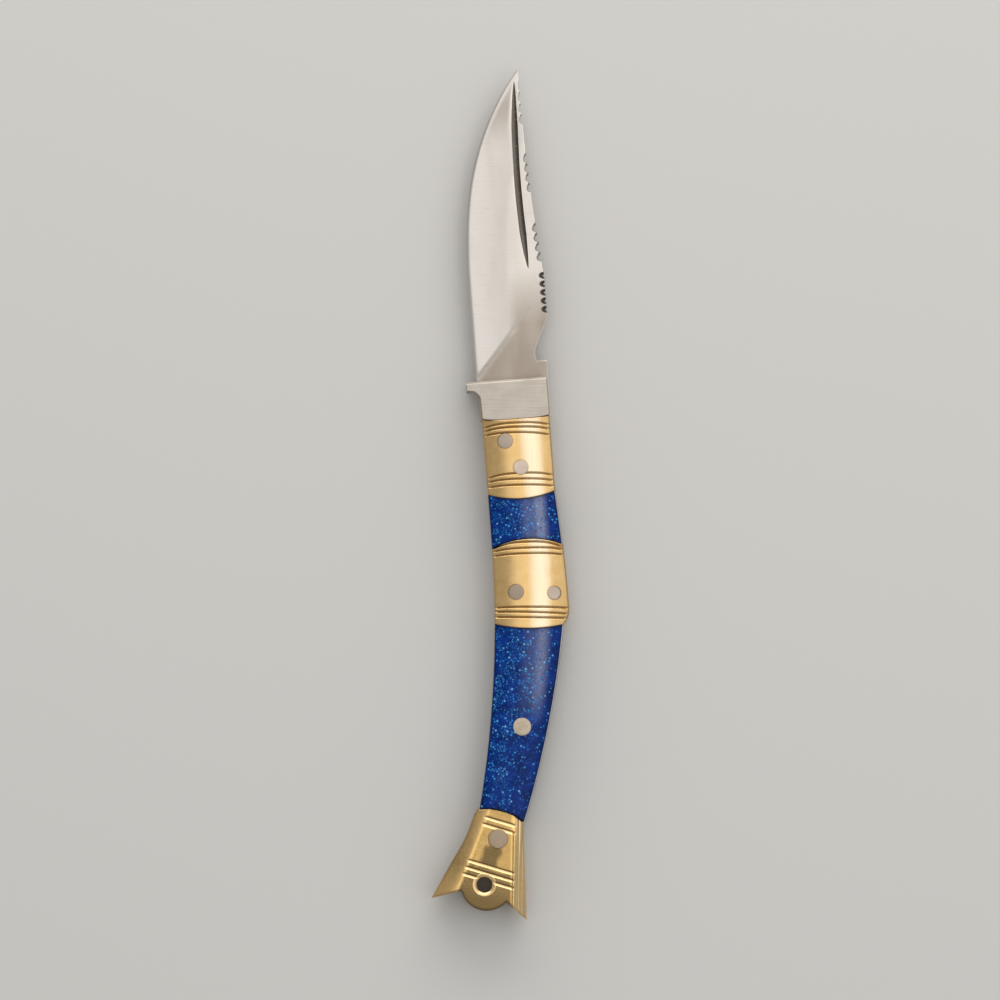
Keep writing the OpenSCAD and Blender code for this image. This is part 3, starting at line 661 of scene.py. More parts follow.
out_edge = -tail_u - (5.3 - EDGE_TAPER * tail_v / TAPER_LONG)
out_back = tail_u - (6.77 - BACK_TAPER * tail_v / TAPER_LONG)
past_edge = out_edge * math.cos(math.atan(EDGE_TAPER / TAPER_LONG))
past_back = out_back * math.cos(math.atan(BACK_TAPER / TAPER_LONG))
edge_flank = TAIL_FLAT - 0.19 * past_edge - 0.055 * np.maximum(past_edge, 0) ** 2
steep = np.tan(np.radians(np.interp(tail_v, [5, 16], [40, 27])))
back_flank = TAIL_FLAT - steep * past_back
tail_top = soft_low(np.full_like(tail_u, TAIL_FLAT + 0.02), edge_flank, 0.3)
tail_top = soft_low(tail_top, back_flank, 0.1)
on_flat = below(np.maximum(past_edge, past_back), 0.12)
print("share of the grid on the flat:", round(float(np.mean(on_flat)), 2))

# %% Lines and grooves of the tail
# Each line falls steeply on its upper side and runs out slowly on its lower one. Its upper side
# gets painted shade and its lower side a painted highlight. Each groove is its place past the
# flat, its width, its depth and the height that it runs up to.
TAIL_LINES = (1.06, 2.66, 4.26, 12.95, 14.55)
GROOVES = ((0.95, 0.16, 0.09, 99), (1.75, 0.15, 0.08, 99), (-0.25, 0.14, 0.12, 13))
tail_cut, tail_shade_and_dirt, fresh_and_highlight, grooves = (np.zeros_like(tail_u) for _ in range(4))
for line in TAIL_LINES:
    above_line = tail_v - line
    tail_cut += LINE_DEEP * valley(above_line, np.where(above_line > 0, 0.3, 0.6)) * on_flat
    # Painted shade on each line's upper side, and a painted highlight on its lower side.
    tail_shade_and_dirt += bell(above_line - 0.22, 0.2) * on_flat
    fresh_and_highlight += bell(above_line + 0.26, 0.24, 4) * on_flat
for place, wide, deep, runs_to in GROOVES:
    grooves += deep * bell(past_back - place, wide) * (tail_v < runs_to)
tail_rim = distance_to(tail_plan, ring(tail_plan)[::4])
tail_top = tail_top - rim_drop(tail_rim, 0.5) - tail_cut - grooves
tail_top = np.maximum(tail_top + hand_work(tail_plan, 0.014, 11), SEAT + 0.12)
print("tail from", round(float(tail_top.min()), 2), "to", round(float(tail_top.max()), 2), "mm")

# %% Wear, painted highlight and painted shade on the tail
# The lines' lower sides carry a painted highlight, and the hole's chamfer and the back flank are
# painted lighter; none of these is tarnished. A patch on the flat, the stretch by the lower lines
# and the lobe have dulled, each by its own amount, and the edge flank and the strip along the seam
# are painted darker as shade.
fresh_and_highlight = np.maximum(fresh_and_highlight, 0.8 * rise(2.62 - np.hypot(tail_u, tail_v), 0.14))
fresh_and_highlight = np.clip(np.maximum(fresh_and_highlight, 0.5 * rise(past_back, 0.3)), 0, 1)
wander = hand_work(tail_plan, 1.0, 12)
between = rise(-out_edge, 0.7) * rise(-out_back, 1.0)
patch = rise(3.9 + wander - np.abs(tail_u + 0.6), 2.4) * rise(10.6 + wander - tail_v, 3.0)
patch = patch * 0.95 * rise(tail_v - 4.2, 0.4)
lower = between * np.maximum(rise(4.6 + wander - tail_v, 1.0) * 0.8,
                             np.interp(tail_v, [-6, -1, 1], [1.1, 0.85, 0.5]))
# The edge flank and the strip along the seam are painted darker, as shade.
flank_shade = np.interp(tail_v, [-6, 3, 15], [0.15, 0.6, 0.4]) * (1 - on_flat)
flank_shade = flank_shade * (past_edge > -0.6)
seam_shade = between * 0.5 * rise(tail_v - 14.9, 0.5)
dull_and_shaded = np.clip(np.max([patch, lower, flank_shade, seam_shade], axis=0), 0, 1)
tail_shade_and_dirt = np.maximum(tail_shade_and_dirt, 0.5 * bell(gap_round("tail_pin", tail_plan), 0.2))
print("dull share", round(float(dull_and_shaded.mean()), 2), "bright share", round(float(fresh_and_highlight.mean()), 2))

# %% Tail with its chamfered lanyard hole
HOLE_R, CHAMFER = 1.77, 0.87
# The marks carry painted light as well: shade on the lines' upper sides, the edge flank and the
# seam strip, a highlight on the lines' lower sides, and a lighter tone on the flat.
tail_brass = closed_mesh("tail_brass_top", tail_plan, tail_top, np.full_like(tail_top, SEAT), {
    "dirt_and_shade": np.clip(tail_shade_and_dirt + grooves / 0.16, 0, 1), "rim": bell(tail_rim, 0.5),
    "tarnish_and_shade": dull_and_shaded * (1 - fresh_and_highlight), "fresh_and_highlight": fresh_and_highlight, "tail_tone_and_flat_light": 0.15 + 0.85 * on_flat,
    "across": np.full_like(tail_u, 1.3)})
chamfered = [(HOLE_R, -1), (HOLE_R, TAIL_FLAT - 0.44), (HOLE_R + 0.03, TAIL_FLAT - 0.4),
             (HOLE_R + CHAMFER, TAIL_FLAT + 0.14), (HOLE_R + CHAMFER, TAIL_FLAT + 2)]
drill(tail_brass, [round_cutter(chamfered, (*HOLE, 0))])
sockets_for(tail_brass, ["tail_pin"])

# %% [markdown]
# ## Steel under the tail
# The liners and the backspring run right through to the fish tail, where they were filed
# flush with the brass. They could be drawn anew, but the CAD plates are right all along
# the handle. So copies of them are used, with the outline of their tails drawn in to just
# inside the brass, so that no steel stands proud of it, and with their edges broken.

# %% Liners and backspring, filed flush
EDGE_FIN_IN, BACK_FIN_IN = (-10.3, -6.0), (11.1, -4.72)
LOBE_SHRINK, LOBE_SHIFT = 0.985, (0.45, 0.25)
FIN_ZONE, TAIL_ZONE = 8, 5


def filed_flush(node):
    """A copy of a CAD plate whose tail stays inside the brass tail's outline."""
    piece = put(node + "_flush", nodes[node].data.copy())
    clean(piece, 30)
    c, s = math.cos(TAIL_TURN), math.sin(TAIL_TURN)
    for vertex in piece.data.vertices:
        x, y = vertex.co.x / MM, vertex.co.y / MM
        across, up = x * c - y * s, x * s + y * c
        if up < 0 and math.hypot(across, up) > TAIL_ZONE:
            if across < -FIN_ZONE:
                across, up = EDGE_FIN_IN
            elif across > FIN_ZONE:
                across, up = BACK_FIN_IN
            else:
                across = across * LOBE_SHRINK + LOBE_SHIFT[0]
                up = up * LOBE_SHRINK + LOBE_SHIFT[1]
            vertex.co.x, vertex.co.y = (across * c + up * s) * MM, (up * c - across * s) * MM
    broken = piece.modifiers.new("broken edges", "BEVEL")
    broken.width, broken.segments, broken.angle_limit = 0.08 * MM, 2, math.radians(50)
    applied(piece)
    piece.data.set_sharp_from_angle(angle=math.radians(40))
    return piece


flush = {node: filed_flush(node) for node in ("liner_top", "liner_bottom", "backspring")}
print("filed flush:", list(flush))

# %% [markdown]
# ## Guard
# The guard is a flat steel plate with a small quillon. Its rims are broken with a fine
# stone, and the front edge, which meets the blade, has a wider bevel. A bevelled
# extrusion would do for it, but the grid with heights gives it the same curved seam as
# the brass that it touches.

# %% Guard plan and heights
# Columns lie closer over the quillon, with a pair where it meets the straight side.
GUARD_FRONT = 13.7
QUILLON_X = -7.7
QUILLON_ARC = (9.4, -7.0, 2.3)
guard_x = np.unique(np.concatenate([
    QUILLON_X + np.array(FINE), np.linspace(-7.28, -4.71, 26), [-4.76, -4.74],
    np.linspace(-4.7, 9.9, 110), BACK_X - np.array(FINE)]))
guard_low = np.where(guard_x < EDGE_X, arc(guard_x, *QUILLON_ARC), guard_seam(guard_x))
guard_y = guard_low + stations(8.2, 0.13)[:, None] * (GUARD_FRONT - guard_low)
guard_plan = np.stack([np.broadcast_to(guard_x, guard_y.shape), guard_y], axis=-1)
guard_rim = distance_to(guard_plan, ring(guard_plan)[::3])
guard_top = GUARD_FLAT - rim_drop(guard_rim, 0.18)
guard_top = soft_low(guard_top, GUARD_FLAT - 0.5 + (GUARD_FRONT - guard_y), 0.06)
guard_top = guard_top + hand_work(guard_plan, 0.004, 21)
guard_steel = closed_mesh("guard_plate_top", guard_plan, guard_top,
                          np.full_like(guard_top, SEAT), {})

# %% [markdown]
# ## Blade
# The blade is a ground plate. Its height at each point is how far the grinding left it:
# a fine bevel at the edge, a long flat slope, and full thickness at the spine and in the
# ricasso, where the grinding runs out along a slanting plunge line. Cutters could take
# that from a slab, but each cut would leave a hard crease where a belt leaves a soft one.
# So the heights are worked out as numbers, with the fuller and the filed notches in them,
# and the grid's columns follow the fuller, so that its rims stay crisp.

# %% Edge of the blade
# The edge runs straight, then along a shallow arc, then along the belly's arc to the tip.
STRAIGHT_X, STRAIGHT_TO = -5.45, 37
SPINE_X = 11.6
SHALLOW_R = 110
SHALLOW = np.array([STRAIGHT_X + SHALLOW_R, STRAIGHT_TO])
CLIP_ARC = (9.3 + 438, 81.5, 438)
TIP_Y = 83.5
shallow_turn = math.asin(16 / SHALLOW_R)
inward = np.array([math.cos(shallow_turn), -math.sin(shallow_turn)])
arcs_meet = SHALLOW - SHALLOW_R * inward


def clip_at(y):
    """The clipped spine near the tip."""
    return arc(y, *CLIP_ARC, -1)


chord = np.array([clip_at(TIP_Y), TIP_Y]) - arcs_meet
belly_r = chord @ chord / (2 * chord @ inward)
BELLY = arcs_meet + belly_r * inward


def edge_curve(y):
    """Where the cutting edge lies at a height."""
    return np.where(y < STRAIGHT_TO, STRAIGHT_X, np.where(
        y < arcs_meet[1], arc(y, *SHALLOW, SHALLOW_R, -1), arc(y, *BELLY, belly_r, -1)))


def from_edge(x, y):
    """Distance inwards from the cutting edge."""
    past = ((x - arcs_meet[0]) * math.sin(shallow_turn)
            + (y - arcs_meet[1]) * math.cos(shallow_turn))
    shallow = SHALLOW_R - np.hypot(x - SHALLOW[0], y - SHALLOW[1])
    belly = belly_r - np.hypot(x - BELLY[0], y - BELLY[1])
    return np.where(y < STRAIGHT_TO, x - STRAIGHT_X, np.where(past < 0, shallow, belly))


print("belly's radius", round(float(belly_r), 1), "mm")

# %% Notches filed in the spine
# Middle, half height, depth, lean towards the handle, and the share open right through.
notches = [(71.95 + i * 2.5, 1.22, deep, 0.35, 0.8)
           for i, deep in enumerate((0.73, 0.66, 0.59, 0.32))]
notches += [(56.5 + i * 2.2, 1.12, 0.8, 0.4, 0.79) for i in range(4)]
notches += [(40.85 + i * 2.19, 1.12, 0.92, 0.45, 0.76) for i in range(4)]
narrow_row = [(28.9 + i * 1.9, 0.82, 1.22, 0.0, 0.27) for i in range(5)]
notches += narrow_row


def bite_at(y):
    """How deep the notches bite into the spine, right through the blade."""
    bite = np.zeros_like(y)
    for middle, half, deep, lean, open_share in notches:
        t = np.clip((y - middle) / half, -1, 1)
        skewed = (t + lean * (1 - t * t)) / open_share
        bite = np.maximum(bite, deep * open_share * np.sqrt(np.maximum(1 - skewed**2, 0)))
    return bite


def notch_wall(x, y):
    """Rises from 0 where a notch is open to 1 where its filed wall reaches the flat."""
    wall = np.full_like(x, 9.0)
    spine_x = np.minimum(SPINE_X, clip_at(y))
    for middle, half, deep, lean, open_share in notches:
        t = (y - middle) / half
        skewed = t + lean * (1 - np.minimum(t * t, 1))
        reach = np.hypot(skewed, (spine_x - x) / deep)
        wall = np.minimum(wall, (reach - open_share) / (1 - open_share))
    return wall


print("notches:", len(notches))

# %% Sides of the blade, and its fuller
TANG_R, TANG_HALF, TANG_TO = 5.5, 4.6, 5
RICASSO_X, RICASSO_TO = 10.75, 17.5
HEEL_Y, SPINE_FROM = 14.95, 26.9
FULLER_ARC = (251.28, 59.2, 244)
FULLER_HALF, FULLER_FROM, FULLER_TO = 0.77, 38.3, 80.4


def tang_half(y):
    """Half the tang's width, rounded at its end."""
    return np.minimum(TANG_HALF, arc(np.minimum(y, 0), 0, 0, TANG_R))


def blade_left(y):
    """The edge side of the tang, the heel and the cutting edge."""
    heel = np.interp(y, [TANG_TO, 13.9, HEEL_Y], [-5.16, -5.16, STRAIGHT_X])
    return np.where(y >= HEEL_Y, edge_curve(y), np.where(y >= TANG_TO, heel, -tang_half(y)))


def blade_right(y):
    """The back of the tang and the ricasso, the step up to the spine, and the clip."""
    step = np.interp(y, [RICASSO_TO, 17.85, 20.1, SPINE_FROM], [8.65, 8.3, 8.3, SPINE_X])
    spine = np.minimum(np.where(y < SPINE_FROM, step, SPINE_X), clip_at(y))
    upper = np.where(y < RICASSO_TO, RICASSO_X, spine)
    return np.where(y < TANG_TO, tang_half(y), upper) - bite_at(y)


def bow_at(y):
    """The fuller's middle line."""
    return arc(y, *FULLER_ARC, -1)


def fuller_half(y):
    """Half the fuller's width, which tapers to both its ends."""
    taper = np.clip(np.minimum((y - FULLER_FROM) / 7.8, (FULLER_TO - y) / 9.8), 0, 1)
    return FULLER_HALF * taper**0.52


print("fuller", round(2 * float(fuller_half(60.0)), 2), "mm wide in its middle")

# %% Grid of the blade
# Rows stand in pairs, a hair apart, at the steps and at the mouths of the narrow notches.
# Columns run from the edge over the honed bevel, the slope, the fuller and the strip by
# the spine.
HAIR = 0.0001
mouths = [
    middle + side * half * open_share * near
    for middle, half, _, _, open_share in narrow_row
    for side in (-1, 1) for near in (1 - HAIR, 1 + HAIR)]
blade_y = np.unique(np.round(np.concatenate([
    np.linspace(-TANG_HALF, 4.9, 30), [TANG_TO - HAIR, TANG_TO + HAIR],
    np.linspace(5.3, 17.3, 60), [RICASSO_TO - HAIR, RICASSO_TO + HAIR],
    np.arange(17.55, 28, 0.18), np.arange(28, 48.6, 0.11), np.arange(48.6, 54.9, 0.3),
    np.arange(54.9, 64, 0.12), np.arange(64, 69.8, 0.3), np.arange(69.8, 81, 0.14),
    np.arange(81, 83.3, 0.15), [83.36, 83.42, 83.47, TIP_Y], mouths]), 5))
left = blade_left(blade_y)
right = np.maximum(blade_right(blade_y), left)
width = right - left
beside = np.maximum(fuller_half(blade_y), 0.12)
fuller_left = np.clip(bow_at(blade_y) - beside, left + 0.3 * width, left + 0.8 * width)
fuller_right = np.clip(bow_at(blade_y) + beside, fuller_left + 0.02 * width,
                       left + 0.94 * width)
keys = np.stack([
    left, left + np.minimum(0.45, 0.1 * width), fuller_left, fuller_right, right], axis=1)
spreads = [
    np.linspace(0, 1, 4)[:-1], np.linspace(0, 1, 32)[:-1],
    (0.5 - 0.5 * np.cos(np.linspace(0, math.pi, 15)))[:-1],
    stations(3.0, 0.3, (0, 0.04, 0.09, 0.16, 0.26))]
px = np.concatenate([
    keys[:, [k]] + (keys[:, [k + 1]] - keys[:, [k]]) * s for k, s in enumerate(spreads)], axis=1)
py = np.broadcast_to(blade_y[:, None], px.shape)
blade_plan = np.stack([px, py], axis=-1)
print("blade grid", px.shape)

# %% What the grinding left
# The honed bevel is narrow, and the flat slope runs from it to full thickness. Past that
# it goes on rising by SPREAD per millimetre, so that the corner there can be rounded.
HONED, HONED_HALF = 0.4, 0.22
GROUND, PAST_SPINE = 9, 60
SPREAD = 0.1146
PLUNGE_AT, PLUNGE_TURN = (-5.8, 13.25), math.radians(49.6)
in_from_edge = from_edge(px, py)
on_edge = in_from_edge < 0.02


def ground_to(inwards):
    """Half the thickness that grinding left at a distance from the edge."""
    past_full = HALF_BLADE + (PAST_SPINE - GROUND) * SPREAD
    return np.interp(inwards, [0, HONED, GROUND, PAST_SPINE],
                     [0, HONED_HALF, HALF_BLADE, past_full])


def soft_high(a, b, blend):
    """The higher of two surfaces, with the corner between them rounded."""
    return (a + b + np.sqrt((a - b) ** 2 + blend**2)) / 2


slope = ground_to(in_from_edge)
slope = np.where(in_from_edge > 4, soft_low(slope, np.full_like(px, HALF_BLADE), 0.06), slope)
past_plunge = ((py - PLUNGE_AT[1]) * math.cos(PLUNGE_TURN)
               - (px - PLUNGE_AT[0]) * math.sin(PLUNGE_TURN))
ricasso = np.minimum(HALF_BLADE * (1 - past_plunge / 0.75), HALF_BLADE)
plate = np.minimum(soft_high(slope, np.maximum(ricasso, -0.5), 0.12), HALF_BLADE)
plate = np.where(on_edge, np.where(py > 15.2, 0, np.maximum(ricasso, 0)), plate)
plate = np.where(py < HEEL_Y, np.maximum(plate, np.minimum(HALF_BLADE, np.maximum(ricasso, 0))),
                 plate)
print("ground away:", round(float(np.mean(plate < HALF_BLADE - 0.01)), 2), "of the grid")

# %% Fuller, notches and soft rims
wide = fuller_half(py)
off_bow = (px - bow_at(py)) / np.maximum(wide, 0.01)
in_fuller = np.abs(off_bow) < 1
groove = (np.minimum(ground_to(from_edge(bow_at(py), py)), HALF_BLADE)
          - 0.55 * wide * (1 - off_bow**2))
groove_rim = bell((np.abs(off_bow) - 1) * wide - 0.06, 0.14) * (wide > 0.1)
off_spine = distance_to(blade_plan, blade_plan[:, -1][::2], closed=False)
wall = notch_wall(px, py)
half_thick = np.where(in_fuller, np.minimum(plate, groove), plate)
half_thick = np.minimum(half_thick, 0.04 + 1.25 * np.clip(wall, 0, 9))
softened = np.where(py > 5.2, rim_drop(off_spine, 0.14), 0)
half_thick = np.maximum(half_thick - softened - 0.02 * groove_rim,
                        np.where(on_edge, 0, 0.004))
print("blade", round(2 * float(half_thick.max()), 2), "mm thick")

# %% Blade with its marks and its pivot hole
flat_part = rise(41 - py, 15) * below(
    -np.maximum(in_from_edge - GROUND, -past_plunge * 2.2), 0.5)
# By these marks the finish paints a highlight along the rims, and shade on the fuller's right
# wall, on the notches' filed walls and in a band near the tip.
blade_steel = closed_mesh("blade_ground", blade_plan, half_thick, -half_thick, {
    "fuller": rise(plate - groove, 0.07) * in_fuller,
    "side": np.clip(off_bow, -1, 1),
    "rim": np.maximum(bell(off_spine, 0.2), groove_rim),
    "flat": np.maximum(flat_part, 0.17 * rise(in_from_edge - 2, 6)),
    "honed": rise(HONED + 0.05 - in_from_edge, 0.1) * (py > 14.9)
    * np.interp(py, [30, 62], [0.35, 1]),
    "filed": rise(1.06 - wall, 0.2)
    * np.interp(py, [38, 39, 52, 64, 70], [1, 0.8, 0.7, 0.65, 0.5]),
    "shade": bell(py - 75, 6.5) * rise(-off_bow - 1.3, 1) * rise(in_from_edge - 0.5, 0.8),
    "plunge": rise(past_plunge, 0.15) * rise(0.95 - past_plunge, 0.3) * (py < 30)})
PIVOT_HOLE_R = 1.68
drill(blade_steel, [round_cutter([(PIVOT_HOLE_R, -3), (PIVOT_HOLE_R, 3)], (0, 0, 0))])

# %% [markdown]
# ## A bench for nodes
# Materials and repeated pieces are both made of nodes. They could be drawn by hand in the
# node editor, but a script keeps every number in sight. Two small classes keep it short:
# a wire that can be used in sums, and a bench that adds any node by its type, with its
# settings first and its sockets after.

# %% Wires


class Wire:
    """A node's output that can be used in Python sums."""

    def __init__(self, bench, socket):
        self.bench, self.socket = bench, socket

    def output(self, name):
        """Another output of the same node."""
        return Wire(self.bench, self.socket.node.outputs[name])

    def sums(self, operation, a, b):
        """A Math node on two values or wires."""
        return self.bench.add("ShaderNodeMath", {"operation": operation}, {0: a, 1: b})

    def __add__(self, other):
        return self.sums("ADD", self, other)

    def __sub__(self, other):
        return self.sums("SUBTRACT", self, other)

    def __rsub__(self, other):
        return self.sums("SUBTRACT", other, self)

    def __mul__(self, other):
        return self.sums("MULTIPLY", self, other)

    def __truediv__(self, other):
        return self.sums("DIVIDE", self, other)

    def __rtruediv__(self, other):
        return self.sums("DIVIDE", other, self)

    __radd__, __rmul__ = __add__, __mul__


SUMS = ("add", "sub", "mul", "truediv")
print("a wire takes part in:", [name for name in SUMS if hasattr(Wire, f"__r{name}__")])

# %% Bench


class Bench:
    """A node tree, with one way of adding nodes to it."""

    def __init__(self, tree):
        self.tree = tree

    def add(self, kind, settings=None, inputs=None, output=0):
        """A node of a kind, with its settings first, then its sockets' values or wires."""
        node = self.tree.nodes.new(kind)
        for name, value in (settings or {}).items():
            setattr(node, name, value)
        for key, value in (inputs or {}).items():
            if isinstance(value, Wire):
                self.tree.links.new(value.socket, node.inputs[key])
            else:
                node.inputs[key].default_value = value
        return Wire(self, node.outputs[output]) if len(node.outputs) else node

    def ramp(self, value, low, high, to_low=0.0, to_high=1.0, how="SMOOTHSTEP"):
        """Takes a value from one range to another, softly or in a straight line."""
        return self.add("ShaderNodeMapRange", {"interpolation_type": how}, {
            "Value": value, "From Min": low, "From Max": high,
            "To Min": to_low, "To Max": to_high})


def colour(red, green, blue):
    """A colour as read on a screen (0 to 255), made linear."""
    linear = []
    for part in (red / 255, green / 255, blue / 255):
        linear.append(part / 12.92 if part < 0.04045 else ((part + 0.055) / 1.055) ** 2.4)
    return (*linear, 1)


print("mid grey, linear:", round(colour(128, 128, 128)[0], 3))

# %% Finishes


class Finish(Bench):
    """A material, with the steps that all the knife's finishes share."""

    def __init__(self, name):
        self.material = bpy.data.materials.new(name)
        self.material.use_nodes = True
        self.material.node_tree.nodes.clear()
        super().__init__(self.material.node_tree)
        metres = self.add("ShaderNodeTexCoord", output="Object")
        self.at = self.add("ShaderNodeVectorMath", {"operation": "SCALE"},
                           {0: metres, "Scale": 1 / MM})

    def stretched(self, factors, turn=0.0):
        """Object coordinates in millimetres, turned in degrees and scaled per axis."""
        spun = self.add("ShaderNodeVectorRotate", {"rotation_type": "Z_AXIS"},
                        {"Vector": self.at, "Angle": math.radians(turn)})
        return self.add("ShaderNodeVectorMath", {"operation": "MULTIPLY"}, {0: spun, 1: factors})

    def noise(self, at, scale=1.0, detail=3.0, rough=0.55):
        """Cloudy values from 0 to 1, around a half."""
        return self.add("ShaderNodeTexNoise", {}, {
            "Vector": at, "Scale": scale, "Detail": detail, "Roughness": rough})

    def mark(self, name):
        """A mark that was kept with the mesh."""
        return self.add("ShaderNodeAttribute", {"attribute_name": name}, output="Fac")

    def blend(self, share, a, b):
        """Two colours mixed, with a share of the second."""
        return self.add("ShaderNodeMix", {"data_type": "RGBA"}, {0: share, 6: a, 7: b}, output=2)

    def coats(self, tone, *coats):
        """A tone with coats laid over it, each a share and a colour."""
        for share, coat in coats:
            tone = self.blend(share, tone, coat)
        return tone

    def bump(self, height, size, strength=1.0):
        """A normal from a height of 0 to 1 that stands for size millimetres."""
        return self.add("ShaderNodeBump", {}, {
            "Height": height, "Distance": size * MM, "Strength": strength})

    def surface(self, inputs):
        """Ends the material, and hands it over."""
        shader = self.add("ShaderNodeBsdfPrincipled", {}, inputs)
        self.add("ShaderNodeOutputMaterial", {}, {"Surface": shader})
        print(self.material.name, "has", len(self.tree.nodes), "nodes")
        return self.material


# %% [markdown]
# ## Satin steel
# The blade was ground across on a fine belt. It shows as faint scratches of many lengths across
# the blade, which both tint it and break up its shine. A photograph of steel could be laid on it,
# but it would blur up close, so stretched noise makes the scratches. The ricasso, which the belt
# didn't reach, is flatter and a little warmer. The fuller is darker and duller, with painted shade
# on its right wall, and the notches' filed walls are painted dark as shade. A painted highlight
# runs along the rims of the spine and the fuller, and a band near the tip on the edge side is
# painted shade.

# %% Blade finish
f = Finish("blade_satin")
long_scratch = f.noise(f.stretched((0.035, 4.5, 1.0), 1.5), 1.0, 5.0, 0.7)
fine_scratch = f.noise(f.stretched((0.2, 22.0, 3.0), -1.0), 1.0, 2.0, 0.6)
few_scratch = f.noise(f.stretched((0.22, 5.0, 1.0), 2.0), 1.0, 3.0, 0.5)
cloud = f.noise(f.stretched((0.16, 0.05, 0.1)), 1.0, 2.0)
grime = f.noise(f.stretched((1.5, 3.0, 1.0)), 1.0, 3.0)
scratch = long_scratch * 0.6 + fine_scratch * 0.4
fuller = f.ramp(f.mark("fuller"), 0.0, 1.0)
skin = f.coats(
    colour(224, 217, 209),
    (f.mark("flat"), colour(160, 148, 134)),
    (f.ramp(scratch, 0.54, 0.34, 0.0, 0.15), colour(176, 166, 156)),
    (f.ramp(cloud, 0.4, 0.7, 0.0, 0.35), colour(200, 189, 178)),
    # A painted highlight along the rims of the spine and the fuller.
    (f.ramp(f.mark("rim"), 0.35, 0.9, 0.0, 0.6), colour(232, 228, 220)),
    (f.mark("honed"), colour(196, 188, 179)),
    # Painted shade in a band near the tip, on the edge side.
    (f.mark("shade") * 0.9, colour(178, 167, 156)),
    (f.mark("plunge") * 0.8, colour(180, 170, 159)),
    (f.ramp(few_scratch, 0.63, 0.76, 0.0, 0.35), colour(150, 140, 132)),
    # The notches' filed walls painted nearly black, as the shade in them.
    (f.mark("filed") * 0.95, colour(52, 45, 38)))
# The fuller, darker and duller, and darker still towards its right wall as painted shade.
fuller_tone_and_shade = f.coats(
    colour(112, 103, 91),
    (f.ramp(f.mark("side"), -0.6, 0.55), colour(56, 48, 40)),
    (f.ramp(grime, 0.5, 0.75, 0.0, 0.35), colour(150, 140, 126)))
blade_finish = f.surface({
    "Base Color": f.blend(fuller, skin, fuller_tone_and_shade),
    "Roughness": 0.32 + 0.1 * scratch + 0.1 * f.mark("flat") + 0.2 * fuller,
    "Metallic": 1.0 - 0.85 * fuller - 0.8 * f.mark("filed") - 0.65 * f.mark("plunge"),
    "Normal": f.bump(scratch, 0.01, 0.2)})

# %% Guard, plates and pins


def brushed(name, light, dark, stretch, turn=0.0, rough=0.36, dull_tone=None):
    """A brushed steel with scratches along one direction, duller where its wear mark is high."""
    finish = Finish(name)
    lines = finish.noise(finish.stretched(stretch, turn), 1.0, 4.0, 0.6)
    blotch = finish.noise(finish.at, 0.25, 2.0)
    tone = finish.blend(finish.ramp(lines * 0.6 + blotch * 0.4, 0.38, 0.62), dark, light)
    if dull_tone:
        tone = finish.blend(finish.mark("wear"), tone, dull_tone)
    return finish.surface({
        "Base Color": tone, "Metallic": 1.0,
        "Roughness": finish.ramp(lines, 0.3, 0.7, rough - 0.06, rough + 0.08),
        "Normal": finish.bump(lines, 0.01, 0.4)})


guard_finish = brushed("guard_satin", colour(186, 177, 166), colour(172, 162, 150),
                       (0.12, 6.0, 1.0), 4.0)
spring_finish = brushed("spring_satin", colour(188, 186, 182), colour(160, 157, 153),
                        (4.0, 0.3, 9.0), 0.0, 0.34)
liner_finish = brushed("liner_satin", colour(150, 148, 147), colour(126, 124, 123),
                       (3.0, 0.3, 8.0), 0.0, 0.3)
pin_finish = brushed("pin_ground", colour(212, 195, 180), colour(190, 171, 156),
                     (6.0, 1.2, 2.0), 30.0, 0.45, dull_tone=colour(160, 142, 121))

# %% [markdown]
# ## Brass
# The brass is polished by hand and has been carried. It has fine scratches in many directions, and
# a darker colour in the engraved lines and round the pins, where polish and dirt stay. A pale band
# along the crown, where the strip light shows, is a painted highlight, and the rounded rims are
# painted darker as shade. The tail is yellower and has patches that have dulled. Its flat is
# painted lighter than its flanks, its lines carry painted shade on their upper sides and a painted
# highlight on their lower sides, and its edge flank and the strip along the seam are painted
# darker as shade. One metal with one roughness would look new, so all that is laid on as coats, by
# the marks kept with the meshes.

